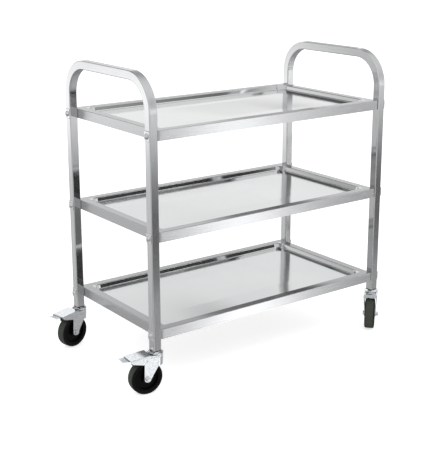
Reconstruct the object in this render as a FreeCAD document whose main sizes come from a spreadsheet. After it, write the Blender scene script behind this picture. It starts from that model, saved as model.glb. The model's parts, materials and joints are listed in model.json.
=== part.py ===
import FreeCAD, Part
import math
import os
import Sketcher

# Three-tier utility cart on four swivel casters.
# Frame: X along the cart, -Y the front long side, Z up, origin on the floor under the middle of
# the whole footprint, which the brake pedals shift towards the left end.
# All lengths are millimetres and all angles are degrees.

DRIVING_SIZES = [
    # Whole cart
    ("cart_length", "850", "over the outer faces of the legs"),
    ("cart_width", "450", "over the front and back faces of the legs"),
    ("cart_height", "878", "floor to the top of the handle hoops"),
    ("leg_end_height", "121", "floor to the open ends of the legs"),
    ("footprint_offset", "19.2", "middle of the legs to the right of the middle of the footprint"),
    # Bent square tube of the end frames
    ("tube_side", "25", "outer side of the square tube"),
    ("tube_wall", "1.2", "wall of the square tube"),
    ("tube_corner_radius", "2.5", "outer corner radius of the tube"),
    ("hoop_bend_radius", "92", "centreline radius of the handle bends"),
    # Folded sheet trays
    ("tray_rise", "58", "rim top of the lowest tray above the ends of the legs"),
    ("tray_pitch", "275.5", "rim top to rim top of two trays"),
    ("rim_height", "28", "height of the skirt round a tray"),
    ("rim_width", "27", "flat rim between skirt and pan"),
    ("pan_depth", "14", "pan floor below the rim"),
    ("pan_corner_radius", "28", "corner of the pan in plan"),
    ("pan_wall_lean", "5", "how far the pan wall leans in from rim to floor"),
    ("pan_lip_radius", "3", "radius between rim and pan wall"),
    ("tray_corner_radius", "7.5", "upright corner of the skirt"),
    ("sheet_thickness", "0.8", "tray sheet"),
    ("return_lip", "12", "hem turned in at the foot of the skirt"),
    ("fold_radius", "1.5", "outer radius of the fold between rim and skirt"),
    ("pan_foot_radius", "4", "radius between pan wall and pan floor"),
    # Hat channel under each pan
    ("channel_crown", "36", "width of the closed side of the channel"),
    ("channel_foot", "12", "width of each spot-welded foot"),
    ("channel_depth", "9", "depth of the channel"),
    ("channel_inset", "30", "channel end to pan corner"),
    # Dome bolt, saddle plate and nut at each leg
    ("bolt_diameter", "6", "shank of the tray bolts"),
    ("bolt_clearance", "0.25", "radial gap round the bolt shank"),
    ("bolt_head_diameter", "17", "dome head"),
    ("bolt_head_height", "6", "dome head with its straight edge"),
    ("bolt_head_edge", "1.2", "straight edge under the dome"),
    ("bolt_tail", "2", "thread past the nut"),
    ("saddle_width", "24", "plate across the leg"),
    ("saddle_thickness", "2.5", "plate under the bolt head"),
    ("saddle_edge_radius", "1.2", "rounded edge of the plate"),
    ("nut_width", "10", "tray nut across its flats"),
    ("nut_height", "5", "tray nut"),
    ("thread_clearance", "0.05", "radial gap in a nut"),
    # Square plug that takes the caster stem
    ("insert_length", "30", "plug inside the end of the leg"),
    ("insert_clearance", "0.1", "gap between plug and tube on each side"),
    ("insert_flange", "2", "collar of the plug under the end of the leg"),
    # Caster stem and swivel bearing
    ("stem_diameter", "12", "threaded stem of the caster"),
    ("stem_clearance", "0.1", "radial gap round the stem"),
    ("stem_reach", "25", "stem above the end of the leg"),
    ("stem_chamfer", "1.5", "lead at the top of the stem"),
    ("stem_head_diameter", "19", "riveted head under the fork crown"),
    ("stem_head_height", "2.6", "riveted head"),
    ("race_gap", "0.1", "running gap of the swivel bearing"),
    ("cup_diameter", "44", "pressed bearing cup"),
    ("cup_flat_diameter", "30", "flat top of the cup"),
    ("cup_sheet", "2", "sheet of the cup"),
    ("cup_height", "6", "height of the cup"),
    ("race_inner_diameter", "20", "inside of the ball race"),
    ("race_outer_diameter", "34", "outside of the ball race"),
    # Pressed fork
    ("crown_gap", "1", "foot of the cup to the top of the fork crown"),
    ("caster_trail", "32", "axle behind the stem"),
    ("fork_sheet", "2.5", "sheet of the fork"),
    ("crown_half_width", "22", "half width of the fork at the crown"),
    ("axle_half_width", "18.5", "half width of the fork at the axle"),
    ("flare_drop", "50", "crown to the level where the cheeks start to flare"),
    ("crown_edge_radius", "5", "rounded edge of the crown"),
    ("fork_tip_radius", "10", "rounded lower end of a cheek"),
    ("apron_drop", "31.5", "crown to the lower edge of the front apron"),
    ("crown_lip", "9", "flange turned down at the back of the crown"),
    # Wheel and axle
    ("wheel_top_gap", "14.5", "tread to the underside of the crown, which gives a 95 mm wheel"),
    ("tyre_width", "30", "over the side walls"),
    ("tyre_thickness", "9.5", "tread to rim seat"),
    ("tyre_shoulder_radius", "4.5", "rounded shoulder"),
    ("rim_seat_width", "26", "width of the core under the tyre"),
    ("rim_thickness", "5", "core under the tyre"),
    ("web_thickness", "14", "disc of the core"),
    ("hub_diameter", "27", "hub of the core"),
    ("hub_width", "30.6", "hub over its end faces"),
    ("sleeve_diameter", "12", "steel sleeve in the hub"),
    ("sleeve_end_gap", "0.05", "sleeve end to cheek"),
    ("running_clearance", "0.1", "radial gap of a turning fit"),
    ("axle_diameter", "8", "axle bolt"),
    ("axle_clearance", "0.1", "radial gap round the axle bolt"),
    ("axle_head_width", "13", "axle bolt head and nut across the flats"),
    ("axle_head_height", "4", "axle bolt head"),
    ("axle_nut_height", "6.5", "axle nut"),
    ("hex_face_share", "0.95", "round face of a hexagon as a share of its width"),
    ("hex_chamfer_angle", "30", "degrees, slope of the chamfer round that face"),
    ("axle_tail", "1.5", "thread past the axle nut"),
    # Brake of the two left casters
    ("pivot_offset", "4", "brake pivot behind the axle"),
    ("pivot_drop", "10", "crown to the brake pivot"),
    ("pivot_diameter", "5", "hollow rivet of the pivot"),
    ("pivot_bore", "2.6", "bore of the hollow rivet"),
    ("pivot_head_diameter", "9", "rolled head of the rivet"),
    ("pivot_head_height", "1.2", "rolled head of the rivet"),
    ("pedal_sheet", "1.5", "sheet of the pedal"),
    ("pedal_gap", "0.4", "pedal wing to the crown of the fork"),
    ("pedal_front", "12", "pedal ahead of its pivot"),
    ("pedal_reach", "48", "pedal plate behind its pivot"),
    ("pedal_rise", "14.3", "top of the plate above the pivot, at its front"),
    ("pedal_fall", "4.7", "slope of the plate over its length"),
    ("wing_height", "24", "depth of a pedal wing"),
    ("pedal_fold_radius", "2", "fold between plate and wing"),
    ("tab_length", "22", "tread of the pedal behind the plate"),
    ("tab_width", "34", "width of the tread"),
    ("tab_step", "3", "tread below the plate"),
    ("shoe_width", "20", "brake shoe along the axle"),
    ("shoe_length", "13", "brake shoe along the tyre"),
    ("shoe_clearance", "0.3", "shoe to tyre with the pedal down"),
    ("brake_travel", "10", "degrees the pedal turns"),
    # Trailing directions of the four casters as the cart stands, in degrees about Z
    ("front_left_heading", "173", "towards the left end"),
    ("back_left_heading", "192", "towards the left end, turned a little to the front"),
    ("front_right_heading", "-138", "towards the front left"),
    ("back_right_heading", "42", "towards the back right"),
    # For cuts that have to run past the material
    ("cut_overrun", "20", "run of a cut beyond the piece"),
    # For finding the edges that get a radius
    ("edge_match", "0.0001", "how near an edge lies to the level it is looked for at"),
]

# Outline of a pedal wing, as shares of the pedal length and of the wing height
WING_OUTLINE_SHARES = [(1.03, 0.19), (0.88, 0.48), (0.37, 0.90), (0.17, 0.88), (0.02, 0.66)]
# Side outline of the pedal tread as shares of the tread length and of its step
TAB_OUTLINE_SHARES = [(0.14, 0.85), (0.82, 0.55), (1.0, -0.25), (1.05, 0.25), (0.86, 1.05), (0.12, 1.35)]
TRAY_NAMES = ["bottom_tray", "middle_tray", "top_tray"]

doc = FreeCAD.newDocument("utility_cart")
sheet = doc.addObject("Spreadsheet::Sheet", "size")
for row, (alias, value, note) in enumerate(DRIVING_SIZES, start=1):
    sheet.set("A%d" % row, alias)
    sheet.set("B%d" % row, value)
    sheet.set("C%d" % row, note)
    sheet.setAlias("B%d" % row, alias)
doc.recompute()

workings = doc.addObject("Spreadsheet::Sheet", "workings")
worked_out = {}
pieces = []


def number(formula):
    """Value of a formula, worked out in its own cell of the second sheet."""
    if formula not in worked_out:
        cell = "A%d" % (len(worked_out) + 1)
        workings.set(cell, "=" + formula)
        workings.recompute()
        worked_out[formula] = float(workings.get(cell))
    return worked_out[formula]


def point(x_formula, y_formula):
    return FreeCAD.Vector(number(x_formula), number(y_formula), 0)


# Places that several pieces share
LEG_X = "(size.cart_length - size.tube_side) / 2"
LEG_Y = "(size.cart_width - size.tube_side) / 2"
TRAY_X = "(size.cart_length / 2 - size.tube_side)"
TRAY_Y = "(size.cart_width / 2)"
LOWEST_RIM = "(size.leg_end_height + size.tray_rise)"
BOLT_LEVEL = "(%s - size.rim_height / 2)" % LOWEST_RIM
CUP_TOP = "(size.leg_end_height - size.insert_flange)"
CROWN_TOP = "(%s - size.cup_height - size.crown_gap)" % CUP_TOP
CROWN_UNDERSIDE = "(%s - size.fork_sheet)" % CROWN_TOP
FLARE_LEVEL = "(%s - size.flare_drop)" % CROWN_TOP
APRON_LEVEL = "(%s - size.apron_drop)" % CROWN_TOP
PIVOT_LEVEL = "(%s - size.pivot_drop)" % CROWN_TOP
WHEEL_DIAMETER = "(%s - size.wheel_top_gap)" % CROWN_UNDERSIDE
WHEEL_RADIUS = "(%s / 2)" % WHEEL_DIAMETER
CORE_RADIUS = "(%s - size.tyre_thickness)" % WHEEL_RADIUS
FORK_REAR = "(size.caster_trail + size.fork_tip_radius)"
PIVOT_TRAIL = "(size.caster_trail + size.pivot_offset)"
PEDAL_OUTER = "(size.crown_half_width + size.pedal_gap + size.pedal_sheet)"
PEDAL_LENGTH = "(size.pedal_front + size.pedal_reach)"
PEDAL_FRONT_X = "(%s - size.pedal_front)" % PIVOT_TRAIL
PEDAL_REAR_X = "(%s + size.pedal_reach)" % PIVOT_TRAIL
PEDAL_FRONT_Z = "(%s + size.pedal_rise)" % PIVOT_LEVEL
PEDAL_REAR_Z = "(%s - size.pedal_fall)" % PEDAL_FRONT_Z


# Helpers for bodies, sketches and features

def new_body(label):
    body = doc.addObject("PartDesign::Body", label)
    body.Label = label
    pieces.append(body)
    return body


def origin_part(body, role):
    return [part for part in body.Origin.OriginFeatures if part.Role == role][0]


def new_sketch(body, plane, x="0", y="0", out="0"):
    """Sketch on an origin plane; x, y and out move its own origin within and off that plane."""
    sketch = body.newObject("Sketcher::SketchObject", body.Name + "_sketch")
    sketch.AttachmentSupport = [(origin_part(body, plane), "")]
    sketch.MapMode = "FlatFace"
    sketch.AttachmentOffset = FreeCAD.Placement(
        FreeCAD.Vector(number(x), number(y), number(out)), FreeCAD.Rotation())
    for axis, formula in (("x", x), ("y", y), ("z", out)):
        if formula != "0":
            sketch.setExpression("AttachmentOffset.Base." + axis, formula)
    return sketch


def hold(sketch, kind, *where, formula):
    """Dimension that stays bound to a formula of the sheet."""
    index = sketch.addConstraint(Sketcher.Constraint(kind, *where, number(formula)))
    sketch.setExpression("Constraints[%d]" % index, formula)


def add_polygon(sketch, corners):
    """Closed straight-sided outline; each corner is a pair of formulas."""
    first = sketch.GeometryCount
    points = [point(x, y) for x, y in corners]
    count = len(points)
    for i in range(count):
        sketch.addGeometry(Part.LineSegment(points[i], points[(i + 1) % count]))
    for i in range(count):
        sketch.addConstraint(
            Sketcher.Constraint("Coincident", first + i, 2, first + (i + 1) % count, 1))
    for i, (x, y) in enumerate(corners):
        hold(sketch, "DistanceX", first + i, 1, formula=x)
        hold(sketch, "DistanceY", first + i, 1, formula=y)


def add_circle(sketch, x, y, radius):
    index = sketch.addGeometry(
        Part.Circle(point(x, y), FreeCAD.Vector(0, 0, 1), number(radius)))
    hold(sketch, "DistanceX", index, 3, formula=x)
    hold(sketch, "DistanceY", index, 3, formula=y)
    hold(sketch, "Radius", index, formula=radius)


def add_rounded_rectangle(sketch, half_x, half_y, radius):
    """Rectangle about the sketch origin with four equal round corners."""
    first = sketch.GeometryCount
    a, b, r = number(half_x), number(half_y), number(radius)
    lines = [((-a + r, -b), (a - r, -b)), ((a, -b + r), (a, b - r)),
             ((a - r, b), (-a + r, b)), ((-a, b - r), (-a, -b + r))]
    centres = [(a - r, -b + r), (a - r, b - r), (-a + r, b - r), (-a + r, -b + r)]
    for turn, ((start, end), centre) in enumerate(zip(lines, centres)):
        sketch.addGeometry(Part.LineSegment(FreeCAD.Vector(*start, 0), FreeCAD.Vector(*end, 0)))
        circle = Part.Circle(FreeCAD.Vector(*centre, 0), FreeCAD.Vector(0, 0, 1), r)
        quarter = math.pi / 2
        sketch.addGeometry(Part.ArcOfCircle(circle, (turn - 1) * quarter, turn * quarter))
    for turn in range(4):
        line, arc = first + 2 * turn, first + 2 * turn + 1
        sketch.addConstraint(Sketcher.Constraint("Tangent", line, 2, arc, 1))
        sketch.addConstraint(Sketcher.Constraint("Tangent", arc, 2, first + (2 * turn + 2) % 8, 1))
        sketch.addConstraint(
            Sketcher.Constraint("Horizontal" if turn % 2 == 0 else "Vertical", line))
        hold(sketch, "Radius", arc, formula=radius)
    hold(sketch, "DistanceY", first, 1, formula="-(%s)" % half_y)
    hold(sketch, "DistanceX", first + 2, 1, formula=half_x)
    hold(sketch, "DistanceY", first + 4, 1, formula=half_y)
    hold(sketch, "DistanceX", first + 6, 1, formula="-(%s)" % half_x)


def add_hexagon(sketch, width):
    """Regular hexagon about the sketch origin, given across its upright flats."""
    flat, corner = "%s / 2" % width, "%s / sqrt(3)" % width
    add_polygon(sketch, [(flat, "-%s / 2" % corner), (flat, "%s / 2" % corner), ("0", corner),
                         ("-" + flat, "%s / 2" % corner), ("-" + flat, "-%s / 2" % corner),
                         ("0", "-" + corner)])


def pad(body, sketch, length, side="One side", backwards=False):
    feature = body.newObject("PartDesign::Pad", body.Name + "_pad")
    feature.Profile = sketch
    feature.SideType = side
    feature.Reversed = backwards
    feature.Length = number(length)
    feature.setExpression("Length", length)
    return feature


def pocket(body, sketch, length=None, backwards=False):
    """Pocket of a length, or right through on both sides of its sketch when no length is given."""
    feature = body.newObject("PartDesign::Pocket", body.Name + "_pocket")
    feature.Profile = sketch
    feature.Reversed = backwards
    if length is None:
        feature.SideType = "Symmetric"
        feature.Type = "ThroughAll"
    else:
        feature.Length = number(length)
        feature.setExpression("Length", length)
    return feature


def revolve(body, sketch, axis="H_Axis"):
    feature = body.newObject("PartDesign::Revolution", body.Name + "_revolution")
    feature.Profile = sketch
    feature.ReferenceAxis = (sketch, [axis])
    feature.Angle = 360
    return feature


def round_edges(body, base, radius, wanted):
    """Fillet on the edges of a feature whose bounding box passes the test."""
    doc.recompute()
    names = ["Edge%d" % (i + 1) for i, edge in enumerate(base.Shape.Edges) if wanted(edge)]
    if not names:
        raise RuntimeError("no edge to round on " + body.Label)
    feature = body.newObject("PartDesign::Fillet", body.Name + "_fillet")
    feature.Base = (base, names)
    feature.Radius = number(radius)
    feature.setExpression("Radius", radius)
    return feature


def mirror_ends(body):
    """The same solids again at the other end of the cart."""
    feature = body.newObject("PartDesign::Mirrored", body.Name + "_mirror")
    feature.TransformMode = "Whole shape"
    feature.MirrorPlane = (origin_part(body, "YZ_Plane"), [""])
    body.Tip = feature


def repeat_at_joints(body):
    """From one joint to both legs of an end, and to all tray levels."""
    feature = body.newObject("PartDesign::LinearPattern", body.Name + "_pattern")
    feature.TransformMode = "Whole shape"
    feature.Direction = (origin_part(body, "Y_Axis"), [""])
    feature.Length = number("2 * " + LEG_Y)
    feature.setExpression("Length", "2 * " + LEG_Y)
    feature.Occurrences = 2
    feature.Direction2 = (origin_part(body, "Z_Axis"), [""])
    feature.Length2 = number("%d * size.tray_pitch" % (len(TRAY_NAMES) - 1))
    feature.setExpression("Length2", "%d * size.tray_pitch" % (len(TRAY_NAMES) - 1))
    feature.Occurrences2 = len(TRAY_NAMES)
    body.Tip = feature


def place(body, x="0", y="0", z="0", heading=None):
    """Placement of a sub-part, given from the middle of the legs and bound to the sheet."""
    x = "%s + size.footprint_offset" % x
    turn = FreeCAD.Rotation(FreeCAD.Vector(0, 0, 1), number(heading) if heading else 0)
    body.Placement = FreeCAD.Placement(FreeCAD.Vector(number(x), number(y), number(z)), turn)
    for axis, formula in (("x", x), ("y", y), ("z", z)):
        if formula != "0":
            body.setExpression("Placement.Base." + axis, formula)
    if heading:
        body.setExpression("Placement.Rotation.Angle", "%s * 1 deg" % heading)


def near(value, formula):
    return abs(value - number(formula)) < number("size.edge_match")


# End frames

def end_frame(label, side):
    """One square tube bent into a hoop: two legs and the push handle between them."""
    body = new_body(label)
    straight_top = "size.cart_height - size.tube_side / 2 - size.hoop_bend_radius"
    bar = "size.cart_height - size.tube_side / 2"
    inner_y = "%s - size.hoop_bend_radius" % LEG_Y
    path = new_sketch(body, "YZ_Plane")
    y, foot, top, z, flat = (number(text) for text in
                             (LEG_Y, "size.leg_end_height", straight_top, bar, inner_y))
    bend = number("size.hoop_bend_radius")
    normal = FreeCAD.Vector(0, 0, 1)
    path.addGeometry(Part.LineSegment(FreeCAD.Vector(-y, foot, 0), FreeCAD.Vector(-y, top, 0)))
    left = Part.Circle(FreeCAD.Vector(-flat, top, 0), normal, bend)
    path.addGeometry(Part.ArcOfCircle(left, math.pi / 2, math.pi))
    path.addGeometry(Part.LineSegment(FreeCAD.Vector(-flat, z, 0), FreeCAD.Vector(flat, z, 0)))
    right = Part.Circle(FreeCAD.Vector(flat, top, 0), normal, bend)
    path.addGeometry(Part.ArcOfCircle(right, 0, math.pi / 2))
    path.addGeometry(Part.LineSegment(FreeCAD.Vector(y, top, 0), FreeCAD.Vector(y, foot, 0)))
    for first, first_end, second, second_end in ((0, 2, 1, 2), (1, 1, 2, 1), (2, 2, 3, 2), (3, 1, 4, 1)):
        path.addConstraint(Sketcher.Constraint("Tangent", first, first_end, second, second_end))
    path.addConstraint(Sketcher.Constraint("Vertical", 0))
    path.addConstraint(Sketcher.Constraint("Horizontal", 2))
    path.addConstraint(Sketcher.Constraint("Vertical", 4))
    hold(path, "DistanceX", 0, 1, formula="-(%s)" % LEG_Y)
    hold(path, "DistanceY", 0, 1, formula="size.leg_end_height")
    hold(path, "DistanceY", 2, 1, formula=bar)
    hold(path, "DistanceX", 4, 2, formula=LEG_Y)
    hold(path, "DistanceY", 4, 2, formula="size.leg_end_height")
    hold(path, "Radius", 1, formula="size.hoop_bend_radius")
    hold(path, "Radius", 3, formula="size.hoop_bend_radius")
    section = new_sketch(body, "XY_Plane", y="-(%s)" % LEG_Y, out="size.leg_end_height")
    half = "size.tube_side / 2"
    add_rounded_rectangle(section, half, half, "size.tube_corner_radius")
    inner_half = "size.tube_side / 2 - size.tube_wall"
    add_rounded_rectangle(
        section, inner_half, inner_half, "size.tube_corner_radius - size.tube_wall")
    tube = body.newObject("PartDesign::AdditivePipe", body.Name + "_tube")
    tube.Profile = section
    tube.Spine = (path, ["Edge%d" % (i + 1) for i in range(5)])
    tube.Mode = "Frenet"
    holes = new_sketch(body, "YZ_Plane")
    for level in range(len(TRAY_NAMES)):
        for leg in ("-", ""):
            add_circle(holes, "%s(%s)" % (leg, LEG_Y),
                       "%s + %d * size.tray_pitch" % (BOLT_LEVEL, level),
                       "size.bolt_diameter / 2 + size.bolt_clearance")
    pocket(body, holes)
    place(body, x="%d * %s" % (side, LEG_X))


end_frame("left_end_frame", -1)
end_frame("right_end_frame", 1)


# Trays

def add_pan_plan(sketch, down, out="0"):
    """Plan of the pan wall at a depth below the rim, moved outwards."""
    shift = "(%s) - size.pan_wall_lean / size.pan_depth * (%s)" % (out, down)
    add_rounded_rectangle(sketch, "%s - size.rim_width + %s" % (TRAY_X, shift),
                          "%s - size.rim_width + %s" % (TRAY_Y, shift),
                          "size.pan_corner_radius + %s" % shift)


def loft_pan(body, top, bottom, out="0"):
    """Block with the outline of the pan between two depths below the rim."""
    upper = new_sketch(body, "XY_Plane", out="size.rim_height - (%s)" % top)
    add_pan_plan(upper, top, out)
    lower = new_sketch(body, "XY_Plane", out="size.rim_height - (%s)" % bottom)
    add_pan_plan(lower, bottom, out)
    loft = body.newObject("PartDesign::AdditiveLoft", body.Name + "_pan")
    loft.Profile = upper
    loft.Sections = [lower]
    loft.Ruled = True
    return loft


def pan_edge_at(level):
    """Test for the edges that run round the pan at a level."""
    reach_x, reach_y = (number(text + " - size.rim_width / 2") for text in (TRAY_X, TRAY_Y))

    def wanted(edge):
        box = edge.BoundBox
        return (near(box.ZMin, level) and near(box.ZMax, level)
                and max(box.XMax, -box.XMin) < reach_x and max(box.YMax, -box.YMin) < reach_y)
    return wanted


def pan_recess(tray_body):
    """Inside of the pan, rounded at its foot, as a body of its own."""
    recess = doc.addObject("PartDesign::Body", tray_body.Label + "_recess")
    hollow = loft_pan(recess, "0", "size.pan_depth")
    round_edges(recess, hollow, "size.pan_foot_radius",
                pan_edge_at("size.rim_height - size.pan_depth"))
    return recess


def take_away(body, other):
    """Cut another body out of this one."""
    cut = body.newObject("PartDesign::Boolean", body.Name + "_cut")
    cut.Type = "Cut"
    cut.setObjects([other])
    return cut


def tray(label, level):
    """Shelf folded from one sheet: skirt with a turned-in hem, flat rim and sunk pan."""
    body = new_body(label)
    outline = new_sketch(body, "XY_Plane")
    add_rounded_rectangle(outline, TRAY_X, TRAY_Y, "size.tray_corner_radius")
    block = pad(body, outline, "size.rim_height")
    round_edges(body, block, "size.fold_radius",
                lambda edge: near(edge.BoundBox.ZMin, "size.rim_height"))
    hem = new_sketch(body, "XY_Plane")
    hem_inset = " - size.sheet_thickness - size.return_lip"
    add_rounded_rectangle(hem, TRAY_X + hem_inset, TRAY_Y + hem_inset, "size.tray_corner_radius")
    pocket(body, hem, "size.sheet_thickness", backwards=True)
    hollow = new_sketch(body, "XY_Plane", out="size.sheet_thickness")
    add_rounded_rectangle(hollow, TRAY_X + " - size.sheet_thickness",
                          TRAY_Y + " - size.sheet_thickness",
                          "size.tray_corner_radius - size.sheet_thickness")
    pocket(body, hollow, "size.rim_height - 2 * size.sheet_thickness", backwards=True)
    wall = "size.sheet_thickness * sqrt(1 + (size.pan_wall_lean / size.pan_depth) ^ 2)"
    underside = "size.pan_depth + size.sheet_thickness"
    outside = loft_pan(body, "size.sheet_thickness", underside, out=wall)
    under_lip = round_edges(body, outside, "size.pan_lip_radius - size.sheet_thickness",
                            pan_edge_at("size.rim_height - size.sheet_thickness"))
    round_edges(body, under_lip, "size.pan_foot_radius + size.sheet_thickness",
                pan_edge_at("size.rim_height - (%s)" % underside))
    sunk = take_away(body, pan_recess(body))
    round_edges(body, sunk, "size.pan_lip_radius", pan_edge_at("size.rim_height"))
    holes = new_sketch(body, "YZ_Plane", out=TRAY_X)
    for leg in ("-", ""):
        add_circle(holes, "%s(%s)" % (leg, LEG_Y), "size.rim_height / 2",
                   "size.bolt_diameter / 2 + size.bolt_clearance")
    end_holes = pocket(body, holes, "size.rim_width / 2")
    doc.recompute()
    other_end = body.newObject("PartDesign::Mirrored", body.Name + "_other_end")
    other_end.Originals = [end_holes]
    other_end.MirrorPlane = (origin_part(body, "YZ_Plane"), [""])
    body.Tip = other_end
    place(body, z="%s + %d * size.tray_pitch - size.rim_height" % (LOWEST_RIM, level))


def tray_channel(label, level):
    """Hat channel spot-welded under the pan so that the sheet doesn't sag."""
    body = new_body(label)
    crown = "size.channel_crown / 2"
    foot = "size.channel_crown / 2 + size.channel_foot"
    sheet_name = "size.sheet_thickness"
    section = new_sketch(body, "YZ_Plane")
    right_half = [(foot, "0"), (foot, "-" + sheet_name), (crown, "-" + sheet_name),
                  (crown, "-size.channel_depth")]
    right_inner = [(crown + " - " + sheet_name, "0"),
                   (crown + " - " + sheet_name, "-size.channel_depth + " + sheet_name)]
    outer = right_half + [("-(%s)" % x, z) for x, z in reversed(right_half)]
    inner = [("-(%s)" % x, z) for x, z in right_inner] + list(reversed(right_inner))
    add_polygon(section, outer + inner)
    pad(body, section, "2 * (%s - size.rim_width - size.channel_inset)" % TRAY_X, side="Symmetric")
    place(body, z="%s + %d * size.tray_pitch - size.pan_depth - size.sheet_thickness" % (
        LOWEST_RIM, level))


for level, tray_name in enumerate(TRAY_NAMES):
    tray(tray_name, level)
    tray_channel(tray_name + "_channel", level)


# Fixings of the trays, worked out at the lower front joint of the left end

def joint_sketch(body, plane, outwards="0"):
    """Sketch centred on that joint: across the leg, or along the bolt."""
    if plane == "YZ_Plane":
        return new_sketch(body, plane, x="-(%s)" % LEG_Y, y=BOLT_LEVEL,
                          out="-size.cart_length / 2 - (%s)" % outwards)
    return new_sketch(body, plane, x="-size.cart_length / 2", y=BOLT_LEVEL, out=LEG_Y)


def tray_bolts(label):
    body = new_body(label)
    profile = joint_sketch(body, "XZ_Plane")
    radius = "size.bolt_diameter / 2"
    head = "size.bolt_head_diameter / 2"
    tail = ("size.tube_side + size.sheet_thickness + size.nut_height + size.bolt_tail")
    seat = "-size.saddle_thickness"
    edge = "-size.saddle_thickness - size.bolt_head_edge"
    crest = "-size.saddle_thickness - size.bolt_head_height"
    corners = [(crest, "0"), (tail, "0"), (tail, radius), (seat, radius), (seat, head), (edge, head)]
    points = [point(x, y) for x, y in corners]
    for i in range(len(points) - 1):
        profile.addGeometry(Part.LineSegment(points[i], points[i + 1]))
    dome_height = number("size.bolt_head_height - size.bolt_head_edge")
    dome_radius = (number(head) ** 2 + dome_height ** 2) / (2 * dome_height)
    centre = FreeCAD.Vector(number(crest) + dome_radius, 0, 0)
    start = math.atan2(number(head), number(edge) - centre.x)
    dome = profile.addGeometry(Part.ArcOfCircle(
        Part.Circle(centre, FreeCAD.Vector(0, 0, 1), dome_radius), start, math.pi))
    for i in range(len(points) - 2):
        profile.addConstraint(Sketcher.Constraint("Coincident", i, 2, i + 1, 1))
    profile.addConstraint(Sketcher.Constraint("Coincident", dome - 1, 2, dome, 1))
    profile.addConstraint(Sketcher.Constraint("Coincident", dome, 2, 0, 1))
    for i, (x, y) in enumerate(corners[:-1]):
        hold(profile, "DistanceX", i, 1, formula=x)
        hold(profile, "DistanceY", i, 1, formula=y)
    hold(profile, "DistanceX", dome, 1, formula=edge)
    hold(profile, "DistanceY", dome, 1, formula=head)
    hold(profile, "DistanceY", dome, 3, formula="0")
    revolve(body, profile)
    repeat_at_joints(body)
    mirror_ends(body)
    place(body)


def tray_saddle_plates(label):
    body = new_body(label)
    face = joint_sketch(body, "YZ_Plane")
    add_rounded_rectangle(face, "size.saddle_width / 2", "size.rim_height / 2",
                          "size.tube_corner_radius")
    add_circle(face, "0", "0", "size.bolt_diameter / 2 + size.bolt_clearance")
    plate = pad(body, face, "size.saddle_thickness", backwards=True)
    outer_face = "-size.cart_length / 2 - size.saddle_thickness"
    hole = "2 * (size.bolt_diameter / 2 + size.bolt_clearance)"
    round_edges(body, plate, "size.saddle_edge_radius",
                lambda edge: near(edge.BoundBox.XMax, outer_face)
                and not near(edge.BoundBox.YLength, hole))
    repeat_at_joints(body)
    mirror_ends(body)
    place(body)


def tray_nuts(label):
    body = new_body(label)
    face = joint_sketch(body, "YZ_Plane", outwards="-size.tube_side - size.sheet_thickness")
    add_hexagon(face, "size.nut_width")
    add_circle(face, "0", "0", "size.bolt_diameter / 2 + size.thread_clearance")
    pad(body, face, "size.nut_height")
    repeat_at_joints(body)
    mirror_ends(body)
    place(body)


tray_bolts("tray_bolts")
tray_saddle_plates("tray_saddle_plates")
tray_nuts("tray_nuts")


# Casters; each piece is drawn about its stem axis with X as the trailing direction

def leg_insert(label, spot):
    """Plug in the end of the leg, with a collar as wide as the tube under it."""
    body = new_body(label)
    bore = "size.stem_diameter / 2 + size.stem_clearance"
    collar = new_sketch(body, "XY_Plane", out=CUP_TOP)
    add_rounded_rectangle(collar, "size.tube_side / 2", "size.tube_side / 2",
                          "size.tube_corner_radius")
    add_circle(collar, "0", "0", bore)
    pad(body, collar, "size.insert_flange")
    half = "size.tube_side / 2 - size.tube_wall - size.insert_clearance"
    section = new_sketch(body, "XY_Plane", out="size.leg_end_height")
    add_rounded_rectangle(section, half, half, "size.tube_corner_radius - size.tube_wall")
    add_circle(section, "0", "0", bore)
    pad(body, section, "size.insert_length")
    place(body, x=spot[0], y=spot[1])


def caster_stem(label, spot):
    """Threaded stem with the head that holds the fork up against its bearing."""
    body = new_body(label)
    radius = "size.stem_diameter / 2"
    head = "size.stem_head_diameter / 2"
    top = "size.leg_end_height + size.stem_reach"
    seat = CROWN_UNDERSIDE + " - size.race_gap"
    profile = new_sketch(body, "XZ_Plane")
    add_polygon(profile, [
        ("0", seat + " - size.stem_head_height"), (head, seat + " - size.stem_head_height"),
        (head, seat), (radius, seat), (radius, top + " - size.stem_chamfer"),
        (radius + " - size.stem_chamfer", top), ("0", top)])
    revolve(body, profile, "V_Axis")
    place(body, x=spot[0], y=spot[1])


def bearing_cup(label, spot):
    """Pressed cup under the end of the leg, the upper half of the swivel bearing."""
    body = new_body(label)
    bore = "size.stem_diameter / 2 + size.stem_clearance"
    flat = "size.cup_flat_diameter / 2"
    outer = "size.cup_diameter / 2"
    top = CUP_TOP
    shoulder = top + " - size.cup_height / 2"
    foot = top + " - size.cup_height"
    profile = new_sketch(body, "XZ_Plane")
    add_polygon(profile, [
        (bore, top), (bore, top + " - size.cup_sheet"), (flat, top + " - size.cup_sheet"),
        (outer + " - size.cup_sheet", shoulder + " - size.cup_sheet / 2"),
        (outer + " - size.cup_sheet", foot), (outer, foot), (outer, shoulder), (flat, top)])
    revolve(body, profile, "V_Axis")
    place(body, x=spot[0], y=spot[1])


def ball_race(label, spot, heading):
    """Ball race, lying on the fork crown and running in the cup."""
    body = new_body(label)
    inner = "size.race_inner_diameter / 2"
    outer = "size.race_outer_diameter / 2"
    flat = "size.cup_flat_diameter / 2"
    top = CUP_TOP + " - size.cup_sheet - size.race_gap"
    shoulder = CUP_TOP + " - size.cup_height / 2 - size.cup_sheet / 2"
    profile = new_sketch(body, "XZ_Plane")
    add_polygon(profile, [
        (inner, CROWN_TOP), (outer, CROWN_TOP), (outer, shoulder),
        (flat + " - size.cup_sheet / 2", top), (inner, top)])
    revolve(body, profile, "V_Axis")
    place(body, x=spot[0], y=spot[1], heading=heading)


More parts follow.
